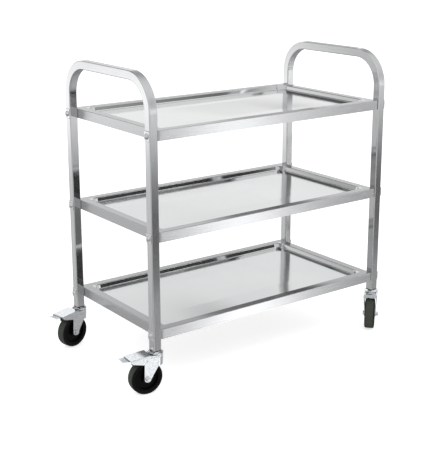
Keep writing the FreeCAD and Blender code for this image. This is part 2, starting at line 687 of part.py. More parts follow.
def add_fork_plan(sketch, half, rear):
    """Plan of the fork: half circle about the stem, straight cheeks back to the rear line."""
    r, x = number(half), number(rear)
    sketch.addGeometry(Part.LineSegment(FreeCAD.Vector(0, -r, 0), FreeCAD.Vector(x, -r, 0)))
    sketch.addGeometry(Part.LineSegment(FreeCAD.Vector(x, -r, 0), FreeCAD.Vector(x, r, 0)))
    sketch.addGeometry(Part.LineSegment(FreeCAD.Vector(x, r, 0), FreeCAD.Vector(0, r, 0)))
    circle = Part.Circle(FreeCAD.Vector(0, 0, 0), FreeCAD.Vector(0, 0, 1), r)
    sketch.addGeometry(Part.ArcOfCircle(circle, math.pi / 2, 3 * math.pi / 2))
    for first, first_end, second, second_end in ((0, 2, 1, 1), (1, 2, 2, 1)):
        sketch.addConstraint(Sketcher.Constraint("Coincident", first, first_end, second, second_end))
    sketch.addConstraint(Sketcher.Constraint("Tangent", 2, 2, 3, 1))
    sketch.addConstraint(Sketcher.Constraint("Tangent", 3, 2, 0, 1))
    sketch.addConstraint(Sketcher.Constraint("Horizontal", 0))
    sketch.addConstraint(Sketcher.Constraint("Vertical", 1))
    sketch.addConstraint(Sketcher.Constraint("Coincident", 3, 3, -1, 1))
    hold(sketch, "Radius", 3, formula=half)
    hold(sketch, "DistanceX", 1, 1, formula=rear)


def add_fork_waste(sketch):
    """Side outline of what is cut away under the apron and round the tips of the cheeks."""
    trail, axle, tip = (number(text) for text in
                        ("size.caster_trail", WHEEL_RADIUS, "size.fork_tip_radius"))
    apron = number(APRON_LEVEL)
    front = number("-size.crown_half_width - size.cut_overrun")
    low = number("%s - size.fork_tip_radius - size.cut_overrun" % WHEEL_RADIUS)
    far = number("%s + size.cut_overrun" % FORK_REAR)
    reach = math.hypot(trail, apron - axle)
    slope = math.atan2(axle - apron, trail) - math.asin(tip / reach)
    run = math.sqrt(reach ** 2 - tip ** 2)
    touch = (run * math.cos(slope), apron + run * math.sin(slope))
    corners = [(front, apron), (0, apron), touch, None,
               (trail + tip, axle), (far, axle), (far, low), (front, low)]
    vectors = [FreeCAD.Vector(*corner, 0) if corner else None for corner in corners]
    sketch.addGeometry(Part.LineSegment(vectors[0], vectors[1]))
    sketch.addGeometry(Part.LineSegment(vectors[1], vectors[2]))
    circle = Part.Circle(FreeCAD.Vector(trail, axle, 0), FreeCAD.Vector(0, 0, 1), tip)
    start = math.atan2(touch[1] - axle, touch[0] - trail)
    sketch.addGeometry(Part.ArcOfCircle(circle, start, 0))
    sketch.addGeometry(Part.LineSegment(vectors[4], vectors[5]))
    sketch.addGeometry(Part.LineSegment(vectors[5], vectors[6]))
    sketch.addGeometry(Part.LineSegment(vectors[6], vectors[7]))
    sketch.addGeometry(Part.LineSegment(vectors[7], vectors[0]))
    sketch.addConstraint(Sketcher.Constraint("Coincident", 0, 2, 1, 1))
    sketch.addConstraint(Sketcher.Constraint("Tangent", 1, 2, 2, 1))
    for i in (2, 3, 4, 5):
        sketch.addConstraint(Sketcher.Constraint("Coincident", i, 2, i + 1, 1))
    sketch.addConstraint(Sketcher.Constraint("Coincident", 6, 2, 0, 1))
    for line in (0, 3, 5):
        sketch.addConstraint(Sketcher.Constraint("Horizontal", line))
    for line in (4, 6):
        sketch.addConstraint(Sketcher.Constraint("Vertical", line))
    hold(sketch, "DistanceX", 1, 1, formula="0")
    hold(sketch, "DistanceY", 1, 1, formula=APRON_LEVEL)
    hold(sketch, "DistanceX", 0, 1, formula="-size.crown_half_width - size.cut_overrun")
    hold(sketch, "DistanceX", 2, 3, formula="size.caster_trail")
    hold(sketch, "DistanceY", 2, 3, formula=WHEEL_RADIUS)
    hold(sketch, "Radius", 2, formula="size.fork_tip_radius")
    hold(sketch, "DistanceX", 4, 1, formula="%s + size.cut_overrun" % FORK_REAR)
    hold(sketch, "DistanceY", 4, 2,
         formula="%s - size.fork_tip_radius - size.cut_overrun" % WHEEL_RADIUS)


def caster_fork(label, spot, heading):
    """Pressed fork: crown, front apron and two flared cheeks drawn from one sheet."""
    body = new_body(label)
    tip_level = "%s - size.fork_tip_radius" % WHEEL_RADIUS
    lower = new_sketch(body, "XY_Plane", out=tip_level)
    add_fork_plan(lower, "size.axle_half_width", FORK_REAR)
    pad(body, lower, "%s - (%s)" % (FLARE_LEVEL, tip_level))
    flare_foot = new_sketch(body, "XY_Plane", out=FLARE_LEVEL)
    add_fork_plan(flare_foot, "size.axle_half_width", FORK_REAR)
    flare_head = new_sketch(body, "XY_Plane", out=CROWN_TOP)
    add_fork_plan(flare_head, "size.crown_half_width", FORK_REAR)
    shell = body.newObject("PartDesign::AdditiveLoft", body.Name + "_flare")
    shell.Profile = flare_foot
    shell.Sections = [flare_head]
    shell.Ruled = True
    rounded = round_edges(body, shell, "size.crown_edge_radius",
                          lambda edge: near(edge.BoundBox.ZMin, CROWN_TOP)
                          and not near(edge.BoundBox.XMin, FORK_REAR))
    beyond = FORK_REAR + " + size.cut_overrun"
    inner_axle = "size.axle_half_width - size.fork_sheet"
    inner_crown = "size.crown_half_width - size.fork_sheet"
    bore = new_sketch(body, "XY_Plane", out="%s - size.cut_overrun" % tip_level)
    add_fork_plan(bore, inner_axle, beyond)
    pocket(body, bore, "%s - (%s) + size.cut_overrun" % (FLARE_LEVEL, tip_level), backwards=True)
    inner_foot = new_sketch(body, "XY_Plane", out=FLARE_LEVEL)
    add_fork_plan(inner_foot, inner_axle, beyond)
    inner_head = new_sketch(body, "XY_Plane", out=CROWN_UNDERSIDE)
    add_fork_plan(inner_head, inner_crown, beyond)
    hollow = body.newObject("PartDesign::SubtractiveLoft", body.Name + "_hollow")
    hollow.Profile = inner_foot
    hollow.Sections = [inner_head]
    hollow.Ruled = True
    waste = new_sketch(body, "XZ_Plane")
    add_fork_waste(waste)
    pocket(body, waste)
    lip = new_sketch(body, "XZ_Plane")
    lip_foot = CROWN_TOP + " - size.crown_lip"
    add_polygon(lip, [(FORK_REAR + " - size.fork_sheet", lip_foot), (FORK_REAR, lip_foot),
                      (FORK_REAR, CROWN_UNDERSIDE),
                      (FORK_REAR + " - size.fork_sheet", CROWN_UNDERSIDE)])
    pad(body, lip, "2 * (%s)" % inner_crown, side="Symmetric")
    holes = new_sketch(body, "XZ_Plane")
    add_circle(holes, "size.caster_trail", WHEEL_RADIUS, "size.axle_diameter / 2 + size.axle_clearance")
    add_circle(holes, PIVOT_TRAIL, PIVOT_LEVEL,
               "size.pivot_diameter / 2 + size.running_clearance")
    pocket(body, holes)
    stem_hole = new_sketch(body, "XY_Plane", out=CROWN_TOP)
    add_circle(stem_hole, "0", "0", "size.stem_diameter / 2 + size.stem_clearance")
    pocket(body, stem_hole, "size.fork_sheet")
    place(body, x=spot[0], y=spot[1], heading=heading)


def axle_sketch(body, out="0"):
    """Sketch square to the axle, centred on it."""
    return new_sketch(body, "XZ_Plane", x="size.caster_trail", y=WHEEL_RADIUS, out=out)


def axle_profile(body):
    """Sketch through the axle; its horizontal axis is the axle."""
    return new_sketch(body, "YZ_Plane", y=WHEEL_RADIUS, out="size.caster_trail")


def chamfer_hexagon(body, face, side):
    """Turn the corners off the outer face of a bolt head or nut, which points along side."""
    flat = "size.axle_head_width / 2 * size.hex_face_share"
    beyond = "size.axle_head_width / 2 + size.cut_overrun"
    slope = "(%s - %s) * tan(size.hex_chamfer_angle)" % (beyond, flat)
    profile = axle_profile(body)
    add_polygon(profile, [
        ("%d * (%s)" % (side, face), flat), ("%d * (%s)" % (side, face), beyond),
        ("%d * (%s - %s)" % (side, face, slope), beyond)])
    groove = body.newObject("PartDesign::Groove", body.Name + "_chamfer")
    groove.Profile = profile
    groove.ReferenceAxis = (profile, ["H_Axis"])
    groove.Angle = 360


def axle_bolt(label, spot, heading):
    body = new_body(label)
    head = axle_sketch(body, out="size.axle_half_width")
    add_hexagon(head, "size.axle_head_width")
    pad(body, head, "size.axle_head_height")
    chamfer_hexagon(body, "size.axle_half_width + size.axle_head_height", -1)
    shank = axle_sketch(body, out="size.axle_half_width")
    add_circle(shank, "0", "0", "size.axle_diameter / 2")
    pad(body, shank, "2 * size.axle_half_width + size.axle_nut_height + size.axle_tail",
        backwards=True)
    place(body, x=spot[0], y=spot[1], heading=heading)


def axle_nut(label, spot, heading):
    body = new_body(label)
    face = axle_sketch(body, out="-size.axle_half_width")
    add_hexagon(face, "size.axle_head_width")
    add_circle(face, "0", "0", "size.axle_diameter / 2 + size.axle_clearance")
    pad(body, face, "size.axle_nut_height", backwards=True)
    chamfer_hexagon(body, "size.axle_half_width + size.axle_nut_height", 1)
    place(body, x=spot[0], y=spot[1], heading=heading)


def axle_sleeve(label, spot, heading):
    """Steel sleeve clamped between the cheeks; the hub turns on it."""
    body = new_body(label)
    half = "size.axle_half_width - size.fork_sheet - size.sleeve_end_gap"
    ring = axle_sketch(body)
    add_circle(ring, "0", "0", "size.sleeve_diameter / 2")
    add_circle(ring, "0", "0", "size.axle_diameter / 2 + size.axle_clearance")
    pad(body, ring, "2 * (%s)" % half, side="Symmetric")
    place(body, x=spot[0], y=spot[1], heading=heading)


def wheel_core(label, spot, heading):
    body = new_body(label)
    bore = "size.sleeve_diameter / 2 + size.running_clearance"
    hub = "size.hub_diameter / 2"
    rim_inside = CORE_RADIUS + " - size.rim_thickness"
    right = [("size.hub_width / 2", bore), ("size.hub_width / 2", hub),
             ("size.web_thickness / 2", hub), ("size.web_thickness / 2", rim_inside),
             ("size.rim_seat_width / 2", rim_inside), ("size.rim_seat_width / 2", CORE_RADIUS)]
    left = [("-" + y, radius) for y, radius in reversed(right)]
    profile = axle_profile(body)
    add_polygon(profile, right + left)
    revolve(body, profile)
    place(body, x=spot[0], y=spot[1], heading=heading)


def tyre(label, spot, heading):
    body = new_body(label)
    seat = "size.rim_seat_width / 2"
    side = "size.tyre_width / 2"
    shoulder = "%s + size.tyre_width / 2 - size.rim_seat_width / 2" % CORE_RADIUS
    right = [(seat, CORE_RADIUS), (side, shoulder), (side, WHEEL_RADIUS)]
    left = [("-" + y, radius) for y, radius in reversed(right)]
    profile = axle_profile(body)
    add_polygon(profile, right + left)
    ring = revolve(body, profile)
    round_edges(body, ring, "size.tyre_shoulder_radius",
                lambda edge: near(edge.BoundBox.ZLength, WHEEL_DIAMETER)
                and edge.BoundBox.YLength < number("size.sheet_thickness"))
    place(body, x=spot[0], y=spot[1], heading=heading)


# Brake of a left caster

def pedal_point(along_share, down_share):
    """Point of the pedal's side view: along its plate, and down from the plate's top."""
    x = "%s + %g * %s" % (PEDAL_FRONT_X, along_share, PEDAL_LENGTH)
    z = "%s - %g * size.pedal_fall - %g * size.wing_height" % (
        PEDAL_FRONT_Z, along_share, down_share)
    return x, z


def brake_pedal(label, spot, heading):
    """Pedal folded from sheet: a plate over the fork, two wings on the pivot and a tread."""
    body = new_body(label)
    side = new_sketch(body, "XZ_Plane")
    outline = [(PEDAL_FRONT_X, PEDAL_FRONT_Z), (PEDAL_REAR_X, PEDAL_REAR_Z)]
    outline += [pedal_point(along, down) for along, down in WING_OUTLINE_SHARES]
    add_polygon(side, outline)
    block = pad(body, side, "2 * " + PEDAL_OUTER, side="Symmetric")
    folds = round_edges(body, block, "size.pedal_fold_radius",
                        lambda edge: near(edge.BoundBox.ZMax, PEDAL_FRONT_Z)
                        and near(edge.BoundBox.ZMin, PEDAL_REAR_Z))
    inside = new_sketch(body, "XZ_Plane")
    run = "(size.pedal_sheet + size.cut_overrun)"
    slope = "size.pedal_fall / %s" % PEDAL_LENGTH
    before, after = "%s - %s" % (PEDAL_FRONT_X, run), "%s + %s" % (PEDAL_REAR_X, run)
    add_polygon(inside, [
        (before, "%s - size.pedal_sheet + %s * %s" % (PEDAL_FRONT_Z, run, slope)),
        (after, "%s - size.pedal_sheet - %s * %s" % (PEDAL_REAR_Z, run, slope)),
        (after, PIVOT_LEVEL + " - size.wing_height"),
        (before, PIVOT_LEVEL + " - size.wing_height")])
    gap = body.newObject("PartDesign::Pocket", body.Name + "_inside")
    gap.Profile = inside
    gap.SideType = "Symmetric"
    gap.Length = number("2 * (%s - size.pedal_sheet)" % PEDAL_OUTER)
    gap.setExpression("Length", "2 * (%s - size.pedal_sheet)" % PEDAL_OUTER)
    tread = new_sketch(body, "XZ_Plane")
    tread_outline = [(PEDAL_REAR_X + " - size.pedal_sheet", PEDAL_REAR_Z + " - size.pedal_sheet"),
                     (PEDAL_REAR_X + " - size.pedal_sheet", PEDAL_REAR_Z)]
    for along, down in TAB_OUTLINE_SHARES:
        tread_outline.append(("%s + %g * size.tab_length" % (PEDAL_REAR_X, along),
                              "%s - %g * size.tab_step" % (PEDAL_REAR_Z, down)))
    add_polygon(tread, tread_outline)
    pad(body, tread, "size.tab_width", side="Symmetric")
    pivot = new_sketch(body, "XZ_Plane")
    add_circle(pivot, PIVOT_TRAIL, PIVOT_LEVEL,
               "size.pivot_diameter / 2 + size.running_clearance")
    pocket(body, pivot)
    place(body, x=spot[0], y=spot[1], heading=heading)


def brake_shoe(label, spot, heading):
    """Block under the pedal plate; its hollow face meets the tyre when the pedal is down."""
    body = new_body(label)
    section = new_sketch(body, "XZ_Plane")
    # Centre of the hollow face with the pedal up: the axle, turned back about the pivot
    centre_x = ("%s - size.pivot_offset * cos(size.brake_travel)"
                " + (%s - %s) * sin(size.brake_travel)" % (PIVOT_TRAIL, PIVOT_LEVEL, WHEEL_RADIUS))
    centre_z = ("%s - size.pivot_offset * sin(size.brake_travel)"
                " - (%s - %s) * cos(size.brake_travel)" % (PIVOT_LEVEL, PIVOT_LEVEL, WHEEL_RADIUS))
    face = WHEEL_RADIUS + " + size.shoe_clearance"
    front = "%s + size.pedal_reach - size.tab_length - size.shoe_length / 2" % PIVOT_TRAIL
    rear = "%s + size.shoe_length" % front
    slope = "size.pedal_fall / %s" % PEDAL_LENGTH

    def under_plate(x):
        return "%s - size.pedal_sheet - (%s - %s) * %s" % (PEDAL_FRONT_Z, x, PEDAL_FRONT_X, slope)

    def on_face(x):
        return "%s + sqrt((%s) ^ 2 - (%s - (%s)) ^ 2)" % (centre_z, face, x, centre_x)

    points = [point(front, under_plate(front)), point(front, on_face(front)),
              point(rear, on_face(rear)), point(rear, under_plate(rear))]
    centre = point(centre_x, centre_z)
    section.addGeometry(Part.LineSegment(points[0], points[1]))
    circle = Part.Circle(centre, FreeCAD.Vector(0, 0, 1), number(face))
    angles = [math.atan2(p.y - centre.y, p.x - centre.x) for p in (points[2], points[1])]
    section.addGeometry(Part.ArcOfCircle(circle, *angles))
    section.addGeometry(Part.LineSegment(points[2], points[3]))
    section.addGeometry(Part.LineSegment(points[3], points[0]))
    section.addConstraint(Sketcher.Constraint("Coincident", 0, 2, 1, 2))
    section.addConstraint(Sketcher.Constraint("Coincident", 1, 1, 2, 1))
    section.addConstraint(Sketcher.Constraint("Coincident", 2, 2, 3, 1))
    section.addConstraint(Sketcher.Constraint("Coincident", 3, 2, 0, 1))
    section.addConstraint(Sketcher.Constraint("Vertical", 0))
    section.addConstraint(Sketcher.Constraint("Vertical", 2))
    hold(section, "DistanceX", 0, 1, formula=front)
    hold(section, "DistanceY", 0, 1, formula=under_plate(front))
    hold(section, "DistanceX", 3, 1, formula=rear)
    hold(section, "DistanceY", 3, 1, formula=under_plate(rear))
    hold(section, "DistanceX", 1, 3, formula=centre_x)
    hold(section, "DistanceY", 1, 3, formula=centre_z)
    hold(section, "Radius", 1, formula=face)
    pad(body, section, "size.shoe_width", side="Symmetric")
    place(body, x=spot[0], y=spot[1], heading=heading)


def brake_pivot(label, spot, heading):
    """Hollow rivet through both cheeks and both pedal wings."""
    body = new_body(label)
    radius = "size.pivot_diameter / 2"
    head = "size.pivot_head_diameter / 2"
    bore = "size.pivot_bore / 2"
    seat = "%s + size.running_clearance" % PEDAL_OUTER
    right = [("(%s + size.pivot_head_height)" % seat, bore),
             ("(%s + size.pivot_head_height)" % seat, "%s - size.pivot_head_height / 2" % head),
             ("(%s + size.pivot_head_height / 2)" % seat, head), ("(%s)" % seat, head),
             ("(%s)" % seat, radius)]
    left = [("-" + y, r) for y, r in reversed(right)]
    profile = new_sketch(body, "YZ_Plane", y=PIVOT_LEVEL, out=PIVOT_TRAIL)
    add_polygon(profile, right + left)
    revolve(body, profile)
    place(body, x=spot[0], y=spot[1], heading=heading)


def caster(corner, spot, braked):
    heading = "size.%s_heading" % corner
    leg_insert(corner + "_leg_insert", spot)
    caster_stem(corner + "_caster_stem", spot)
    bearing_cup(corner + "_bearing_cup", spot)
    ball_race(corner + "_ball_race", spot, heading)
    caster_fork(corner + "_fork", spot, heading)
    axle_bolt(corner + "_axle_bolt", spot, heading)
    axle_nut(corner + "_axle_nut", spot, heading)
    axle_sleeve(corner + "_axle_sleeve", spot, heading)
    wheel_core(corner + "_wheel_core", spot, heading)
    tyre(corner + "_tyre", spot, heading)
    if braked:
        brake_pedal(corner + "_brake_pedal", spot, heading)
        brake_shoe(corner + "_brake_shoe", spot, heading)
        brake_pivot(corner + "_brake_pivot", spot, heading)


CORNERS = {
    "front_left": (("-" + LEG_X, "-" + LEG_Y), True),
    "back_left": (("-" + LEG_X, LEG_Y), True),
    "front_right": ((LEG_X, "-" + LEG_Y), False),
    "back_right": ((LEG_X, LEG_Y), False),
}
for corner, (spot, braked) in CORNERS.items():
    caster(corner, spot, braked)


# Check the document, then write one file for each sub-part

doc.recompute()
for thing in doc.Objects:
    if "Invalid" in thing.State or "Error" in thing.State:
        raise RuntimeError("%s failed: %s" % (thing.Label, thing.State))
for piece in pieces:
    if piece.Shape.isNull() or not piece.Shape.isValid():
        raise RuntimeError("%s has no valid shape" % piece.Label)
os.makedirs("parts", exist_ok=True)
for piece in pieces:
    piece.Shape.exportStep("parts/%s.step" % piece.Label)
    box = piece.Shape.BoundBox
    print("%-26s %2d solids  %8.1f mm3  x %7.1f %7.1f  y %7.1f %7.1f  z %6.1f %6.1f" % (
        piece.Label, len(piece.Shape.Solids), piece.Shape.Volume,
        box.XMin, box.XMax, box.YMin, box.YMax, box.ZMin, box.ZMax))
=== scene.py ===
# %% [markdown]
# # A three-tier utility cart
#
# The cart is a flat-pack trolley: two end frames bent from square stainless tube, three folded
# trays and four swivel casters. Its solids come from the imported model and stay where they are.
# This lesson adds what the solids leave out: the finish of every surface, the moulded tyres, and
# the small marks of manufacture.

import json
import math

import bpy
from mathutils import Matrix, Vector


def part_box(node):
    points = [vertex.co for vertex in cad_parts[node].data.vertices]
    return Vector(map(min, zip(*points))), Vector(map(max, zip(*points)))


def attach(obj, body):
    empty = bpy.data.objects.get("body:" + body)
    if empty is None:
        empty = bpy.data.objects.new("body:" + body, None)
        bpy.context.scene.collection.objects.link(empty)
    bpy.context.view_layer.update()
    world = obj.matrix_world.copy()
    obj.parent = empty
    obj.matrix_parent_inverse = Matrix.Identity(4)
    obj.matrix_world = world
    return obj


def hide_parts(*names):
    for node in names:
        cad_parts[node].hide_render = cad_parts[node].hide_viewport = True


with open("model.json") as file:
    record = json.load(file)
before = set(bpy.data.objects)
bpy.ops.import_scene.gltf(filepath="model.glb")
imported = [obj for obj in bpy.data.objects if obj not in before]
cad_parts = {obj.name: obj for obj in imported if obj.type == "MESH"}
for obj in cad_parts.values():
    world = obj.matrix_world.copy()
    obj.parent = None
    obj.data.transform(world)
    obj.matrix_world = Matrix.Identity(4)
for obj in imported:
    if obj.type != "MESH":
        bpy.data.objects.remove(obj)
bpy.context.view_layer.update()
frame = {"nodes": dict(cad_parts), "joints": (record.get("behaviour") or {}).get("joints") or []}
nodes = frame["nodes"]

# %% [markdown]
# ## Sizes that the looks share
#
# Millimetres are easier to read than metres, so every size is written in millimetres and turned
# by one factor. The wheels' places are read off the frame's joints, so nothing has to be fitted
# by eye.

# %% Sizes and places
MM = 0.001
CORNERS = ("front_left", "back_left", "front_right", "back_right")
BRAKED = ("front_left", "back_left")
joints = {joint["name"]: joint for joint in frame["joints"]}
axles = {}
for corner in CORNERS:
    spin = joints[corner + "_wheel_spin"]
    axles[corner] = (Vector(spin["pos_m"]), Vector(spin["axis"]))
print("wheel centres:", {c: [round(v, 4) for v in place] for c, (place, _) in axles.items()})

# %% [markdown]
# ## Colours and nodes
#
# Colours are picked as sRGB hex values, as on a screen, but the renderer adds light in linear
# values, so one function turns them. A second small function adds a shader node with its settings
# and links, and every material below is built with it. A Mix node has several sockets of one name,
# which are told by number: 2 and 3 are its two numbers, 6 and 7 its two colours.

# %% Helpers for materials
def colour(hex_value):
    """Linear RGBA of an sRGB hex colour."""
    parts = [int(hex_value[i:i + 2], 16) / 255 for i in (1, 3, 5)]
    return [c / 12.92 if c <= 0.04045 else ((c + 0.055) / 1.055) ** 2.4 for c in parts] + [1]


def add_node(tree, kind, inputs=None, stops=(), **settings):
    """One node. Inputs gives each socket a value, or another node's output to link; stops gives
    a colour ramp its (position, colour) pairs."""
    node = tree.nodes.new(kind)
    for name, value in settings.items():
        setattr(node, name, value)
    for socket, value in (inputs or {}).items():
        if isinstance(value, bpy.types.NodeSocket):
            tree.links.new(value, node.inputs[socket])
        else:
            node.inputs[socket].default_value = value
    if stops:
        marks = node.color_ramp.elements
        while len(marks) < len(stops):
            marks.new(0.5)
        for mark, (position, shade) in zip(marks, stops):
            mark.position, mark.color = position, shade
    return node


def start_material(name, inputs):
    """Material with only a Principled shader; gives the material, its tree and the shader."""
    material = bpy.data.materials.new(name)
    material.use_nodes = True
    tree = material.node_tree
    tree.nodes.clear()
    shader = add_node(tree, "ShaderNodeBsdfPrincipled", inputs)
    add_node(tree, "ShaderNodeOutputMaterial", {"Surface": shader.outputs["BSDF"]})
    return material, tree, shader


print("a middle grey, #808080, is", round(colour("#808080")[0], 4), "in linear values")

# %% [markdown]
# ## Polished tube: distance from the middle of the bends
#
# The frames are bent stainless tube, polished with a fine belt that leaves scratches along the
# tube. The scratches have to follow the bends. A UV map could carry them, but the solids have
# none, so the place comes from Object coordinates: a point of the hoop is told by how far it lies
# outside an inner rectangle, whose corners are the middles of the bends. That distance stays the
# same along a leg, round the bend and along the handle.

# %% Tube finish, distance
LEG_HALF_SPACING = 212.5 * MM
BEND_RADIUS = 92 * MM
TUBE_SIDE = 25 * MM
hoop_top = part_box("left_end_frame")[1].z
bend_middle = (0, LEG_HALF_SPACING - BEND_RADIUS, hoop_top - TUBE_SIDE / 2 - BEND_RADIUS)
tube_finish, tree, shader = start_material("stainless tube, belt polished", {"Metallic": 1.0})
place = add_node(tree, "ShaderNodeTexCoord").outputs["Object"]
split = add_node(tree, "ShaderNodeSeparateXYZ", {"Vector": place}).outputs
sideways = add_node(tree, "ShaderNodeMath", {0: split["Y"]}, operation="ABSOLUTE")
upright = add_node(tree, "ShaderNodeCombineXYZ", {"Y": sideways.outputs[0], "Z": split["Z"]})
outside = add_node(tree, "ShaderNodeVectorMath", {0: upright.outputs[0], 1: bend_middle},
                   operation="SUBTRACT")
outside = add_node(tree, "ShaderNodeVectorMath", {0: outside.outputs[0], 1: (0, 0, 0)},
                   operation="MAXIMUM")
distance = add_node(tree, "ShaderNodeVectorMath", {0: outside.outputs[0]}, operation="LENGTH")
print("middle of the bends:", [round(v, 4) for v in bend_middle])

# %% [markdown]
# ## Polished tube: scratches of the belt
#
# A picture of brushed steel could be wrapped round the tube, but it would need a UV map and would
# repeat. Noise needs neither: where it changes fast across the grain and slowly along it, it draws
# scratches. They change the colour a little and give the surface a fine bump. A second, larger
# noise is for the smears that hands leave.

# %% Tube finish, scratches
GRAIN_WIDTH = 0.5 * MM          # spacing of the belt scratches, drawn a little coarser than real
GRAIN_LENGTH = 40 * MM
SMEAR_SIZE = 60 * MM
SCRATCH_DEPTH = 0.01 * MM
along = add_node(tree, "ShaderNodeMath", {0: split["Z"], 1: split["Y"]}, operation="ADD")
grain_place = add_node(tree, "ShaderNodeCombineXYZ", {
    "X": split["X"], "Y": distance.outputs["Value"], "Z": along.outputs[0]})
stretched = add_node(tree, "ShaderNodeVectorMath", {
    0: grain_place.outputs[0], 1: (1 / GRAIN_WIDTH, 1 / GRAIN_WIDTH, 1 / GRAIN_LENGTH)},
    operation="MULTIPLY")
grain = add_node(tree, "ShaderNodeTexNoise", {
    "Vector": stretched.outputs[0], "Scale": 1.0, "Detail": 2.0}).outputs["Fac"]
smears = add_node(tree, "ShaderNodeTexNoise", {
    "Vector": place, "Scale": 1 / SMEAR_SIZE, "Detail": 3.0}).outputs["Fac"]
steel = add_node(tree, "ShaderNodeValToRGB", {"Fac": grain},
                 stops=[(0.3, colour("#c9cacb")), (0.7, colour("#dfe0e1"))])
tree.links.new(steel.outputs["Color"], shader.inputs["Base Color"])
bump = add_node(tree, "ShaderNodeBump", {
    "Height": grain, "Strength": 0.25, "Distance": SCRATCH_DEPTH})
tree.links.new(bump.outputs["Normal"], shader.inputs["Normal"])
print("scratches:", GRAIN_WIDTH / MM, "by", GRAIN_LENGTH / MM, "mm")

# %% [markdown]
# ## Polished tube: duller bends
#
# Bending stretches the outer face of the tube and presses the inner one, which dulls both, so they
# are rougher there. The two flat sides of a bend keep their polish. The roughness could be painted
# by hand, but the shape already tells where it belongs: a bend is where a point lies outside the
# inner rectangle both sideways and upwards, and the face is told by its normal.

# %% Tube finish, bends
BEND_START, BEND_FULL = 0.2 * MM, 20 * MM       # depth into the bend, over which the polish fades
FLAT_SIDE, CURVED_SIDE = 0.7, 0.3               # share of the face's normal that is along X
POLISHED_ROUGHNESS = (0.04, 0.16)
BENT_ROUGHNESS = (0.38, 0.50)
past_corner = add_node(tree, "ShaderNodeSeparateXYZ", {"Vector": outside.outputs[0]}).outputs
corner_depth = add_node(tree, "ShaderNodeMath", {0: past_corner["Y"], 1: past_corner["Z"]},
                        operation="MINIMUM")
bent = add_node(tree, "ShaderNodeMapRange", {
    "Value": corner_depth.outputs[0], "From Min": BEND_START, "From Max": BEND_FULL})
normal = add_node(tree, "ShaderNodeNewGeometry").outputs["True Normal"]
facing = add_node(tree, "ShaderNodeSeparateXYZ", {"Vector": normal}).outputs
facing_end = add_node(tree, "ShaderNodeMath", {0: facing["X"]}, operation="ABSOLUTE")
curved = add_node(tree, "ShaderNodeMapRange", {
    "Value": facing_end.outputs[0], "From Min": FLAT_SIDE, "From Max": CURVED_SIDE})
bent = add_node(tree, "ShaderNodeMath", {
    0: bent.outputs["Result"], 1: curved.outputs["Result"]}, operation="MULTIPLY")
wear = add_node(tree, "ShaderNodeMath", {0: grain, 1: smears}, operation="MULTIPLY").outputs[0]
polished, dulled = [
    add_node(tree, "ShaderNodeMapRange", {"Value": wear, "To Min": low, "To Max": high})
    for low, high in (POLISHED_ROUGHNESS, BENT_ROUGHNESS)]
rough = add_node(tree, "ShaderNodeMix", {
    "Factor": bent.outputs[0], 2: polished.outputs["Result"], 3: dulled.outputs["Result"]})
tree.links.new(rough.outputs[0], shader.inputs["Roughness"])
print("tube finish:", len(tree.nodes), "nodes")

# %% [markdown]
# ## Tray sheet: bright pan, satin rim
#
# The trays are pressed and folded from cold-rolled sheet. The pan keeps its bright mill finish and
# mirrors the legs. Rim and skirt are belted after folding, which leaves a satin grain along them.
# A solid holds one material, so a mask in it tells the two apart: how far a point lies past the
# edge of the pan.

# %% Sheet finish, pan and rim
PAN_HALF_LENGTH, PAN_HALF_WIDTH = 373 * MM, 198 * MM      # at the rim
ANY_HEIGHT = 10                                           # higher than any tray, in metres
SATIN_FROM, SATIN_TO = -1 * MM, 2 * MM
tray_low, tray_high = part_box("top_tray")
tray_middle = ((tray_low.x + tray_high.x) / 2, 0, 0)
sheet_finish, tree, shader = start_material(
    "stainless sheet, bright pan and satin rim", {"Metallic": 1.0, "Anisotropic": 0.95})
place = add_node(tree, "ShaderNodeTexCoord").outputs["Object"]
centred = add_node(tree, "ShaderNodeVectorMath", {0: place, 1: tray_middle},
                   operation="SUBTRACT")
unsigned = add_node(tree, "ShaderNodeVectorMath", {0: centred.outputs[0]}, operation="ABSOLUTE")
past = add_node(tree, "ShaderNodeVectorMath", {
    0: unsigned.outputs[0], 1: (PAN_HALF_LENGTH, PAN_HALF_WIDTH, ANY_HEIGHT)},
    operation="SUBTRACT")
past_edge = add_node(tree, "ShaderNodeSeparateXYZ", {"Vector": past.outputs[0]}).outputs
farthest = add_node(tree, "ShaderNodeMath", {0: past_edge["X"], 1: past_edge["Y"]},
                    operation="MAXIMUM")
satin = add_node(tree, "ShaderNodeMapRange", {
    "Value": farthest.outputs[0], "From Min": SATIN_FROM, "From Max": SATIN_TO}).outputs["Result"]
print("middle of the trays:", round(tray_middle[0] / MM, 2), "mm to the right of the origin")
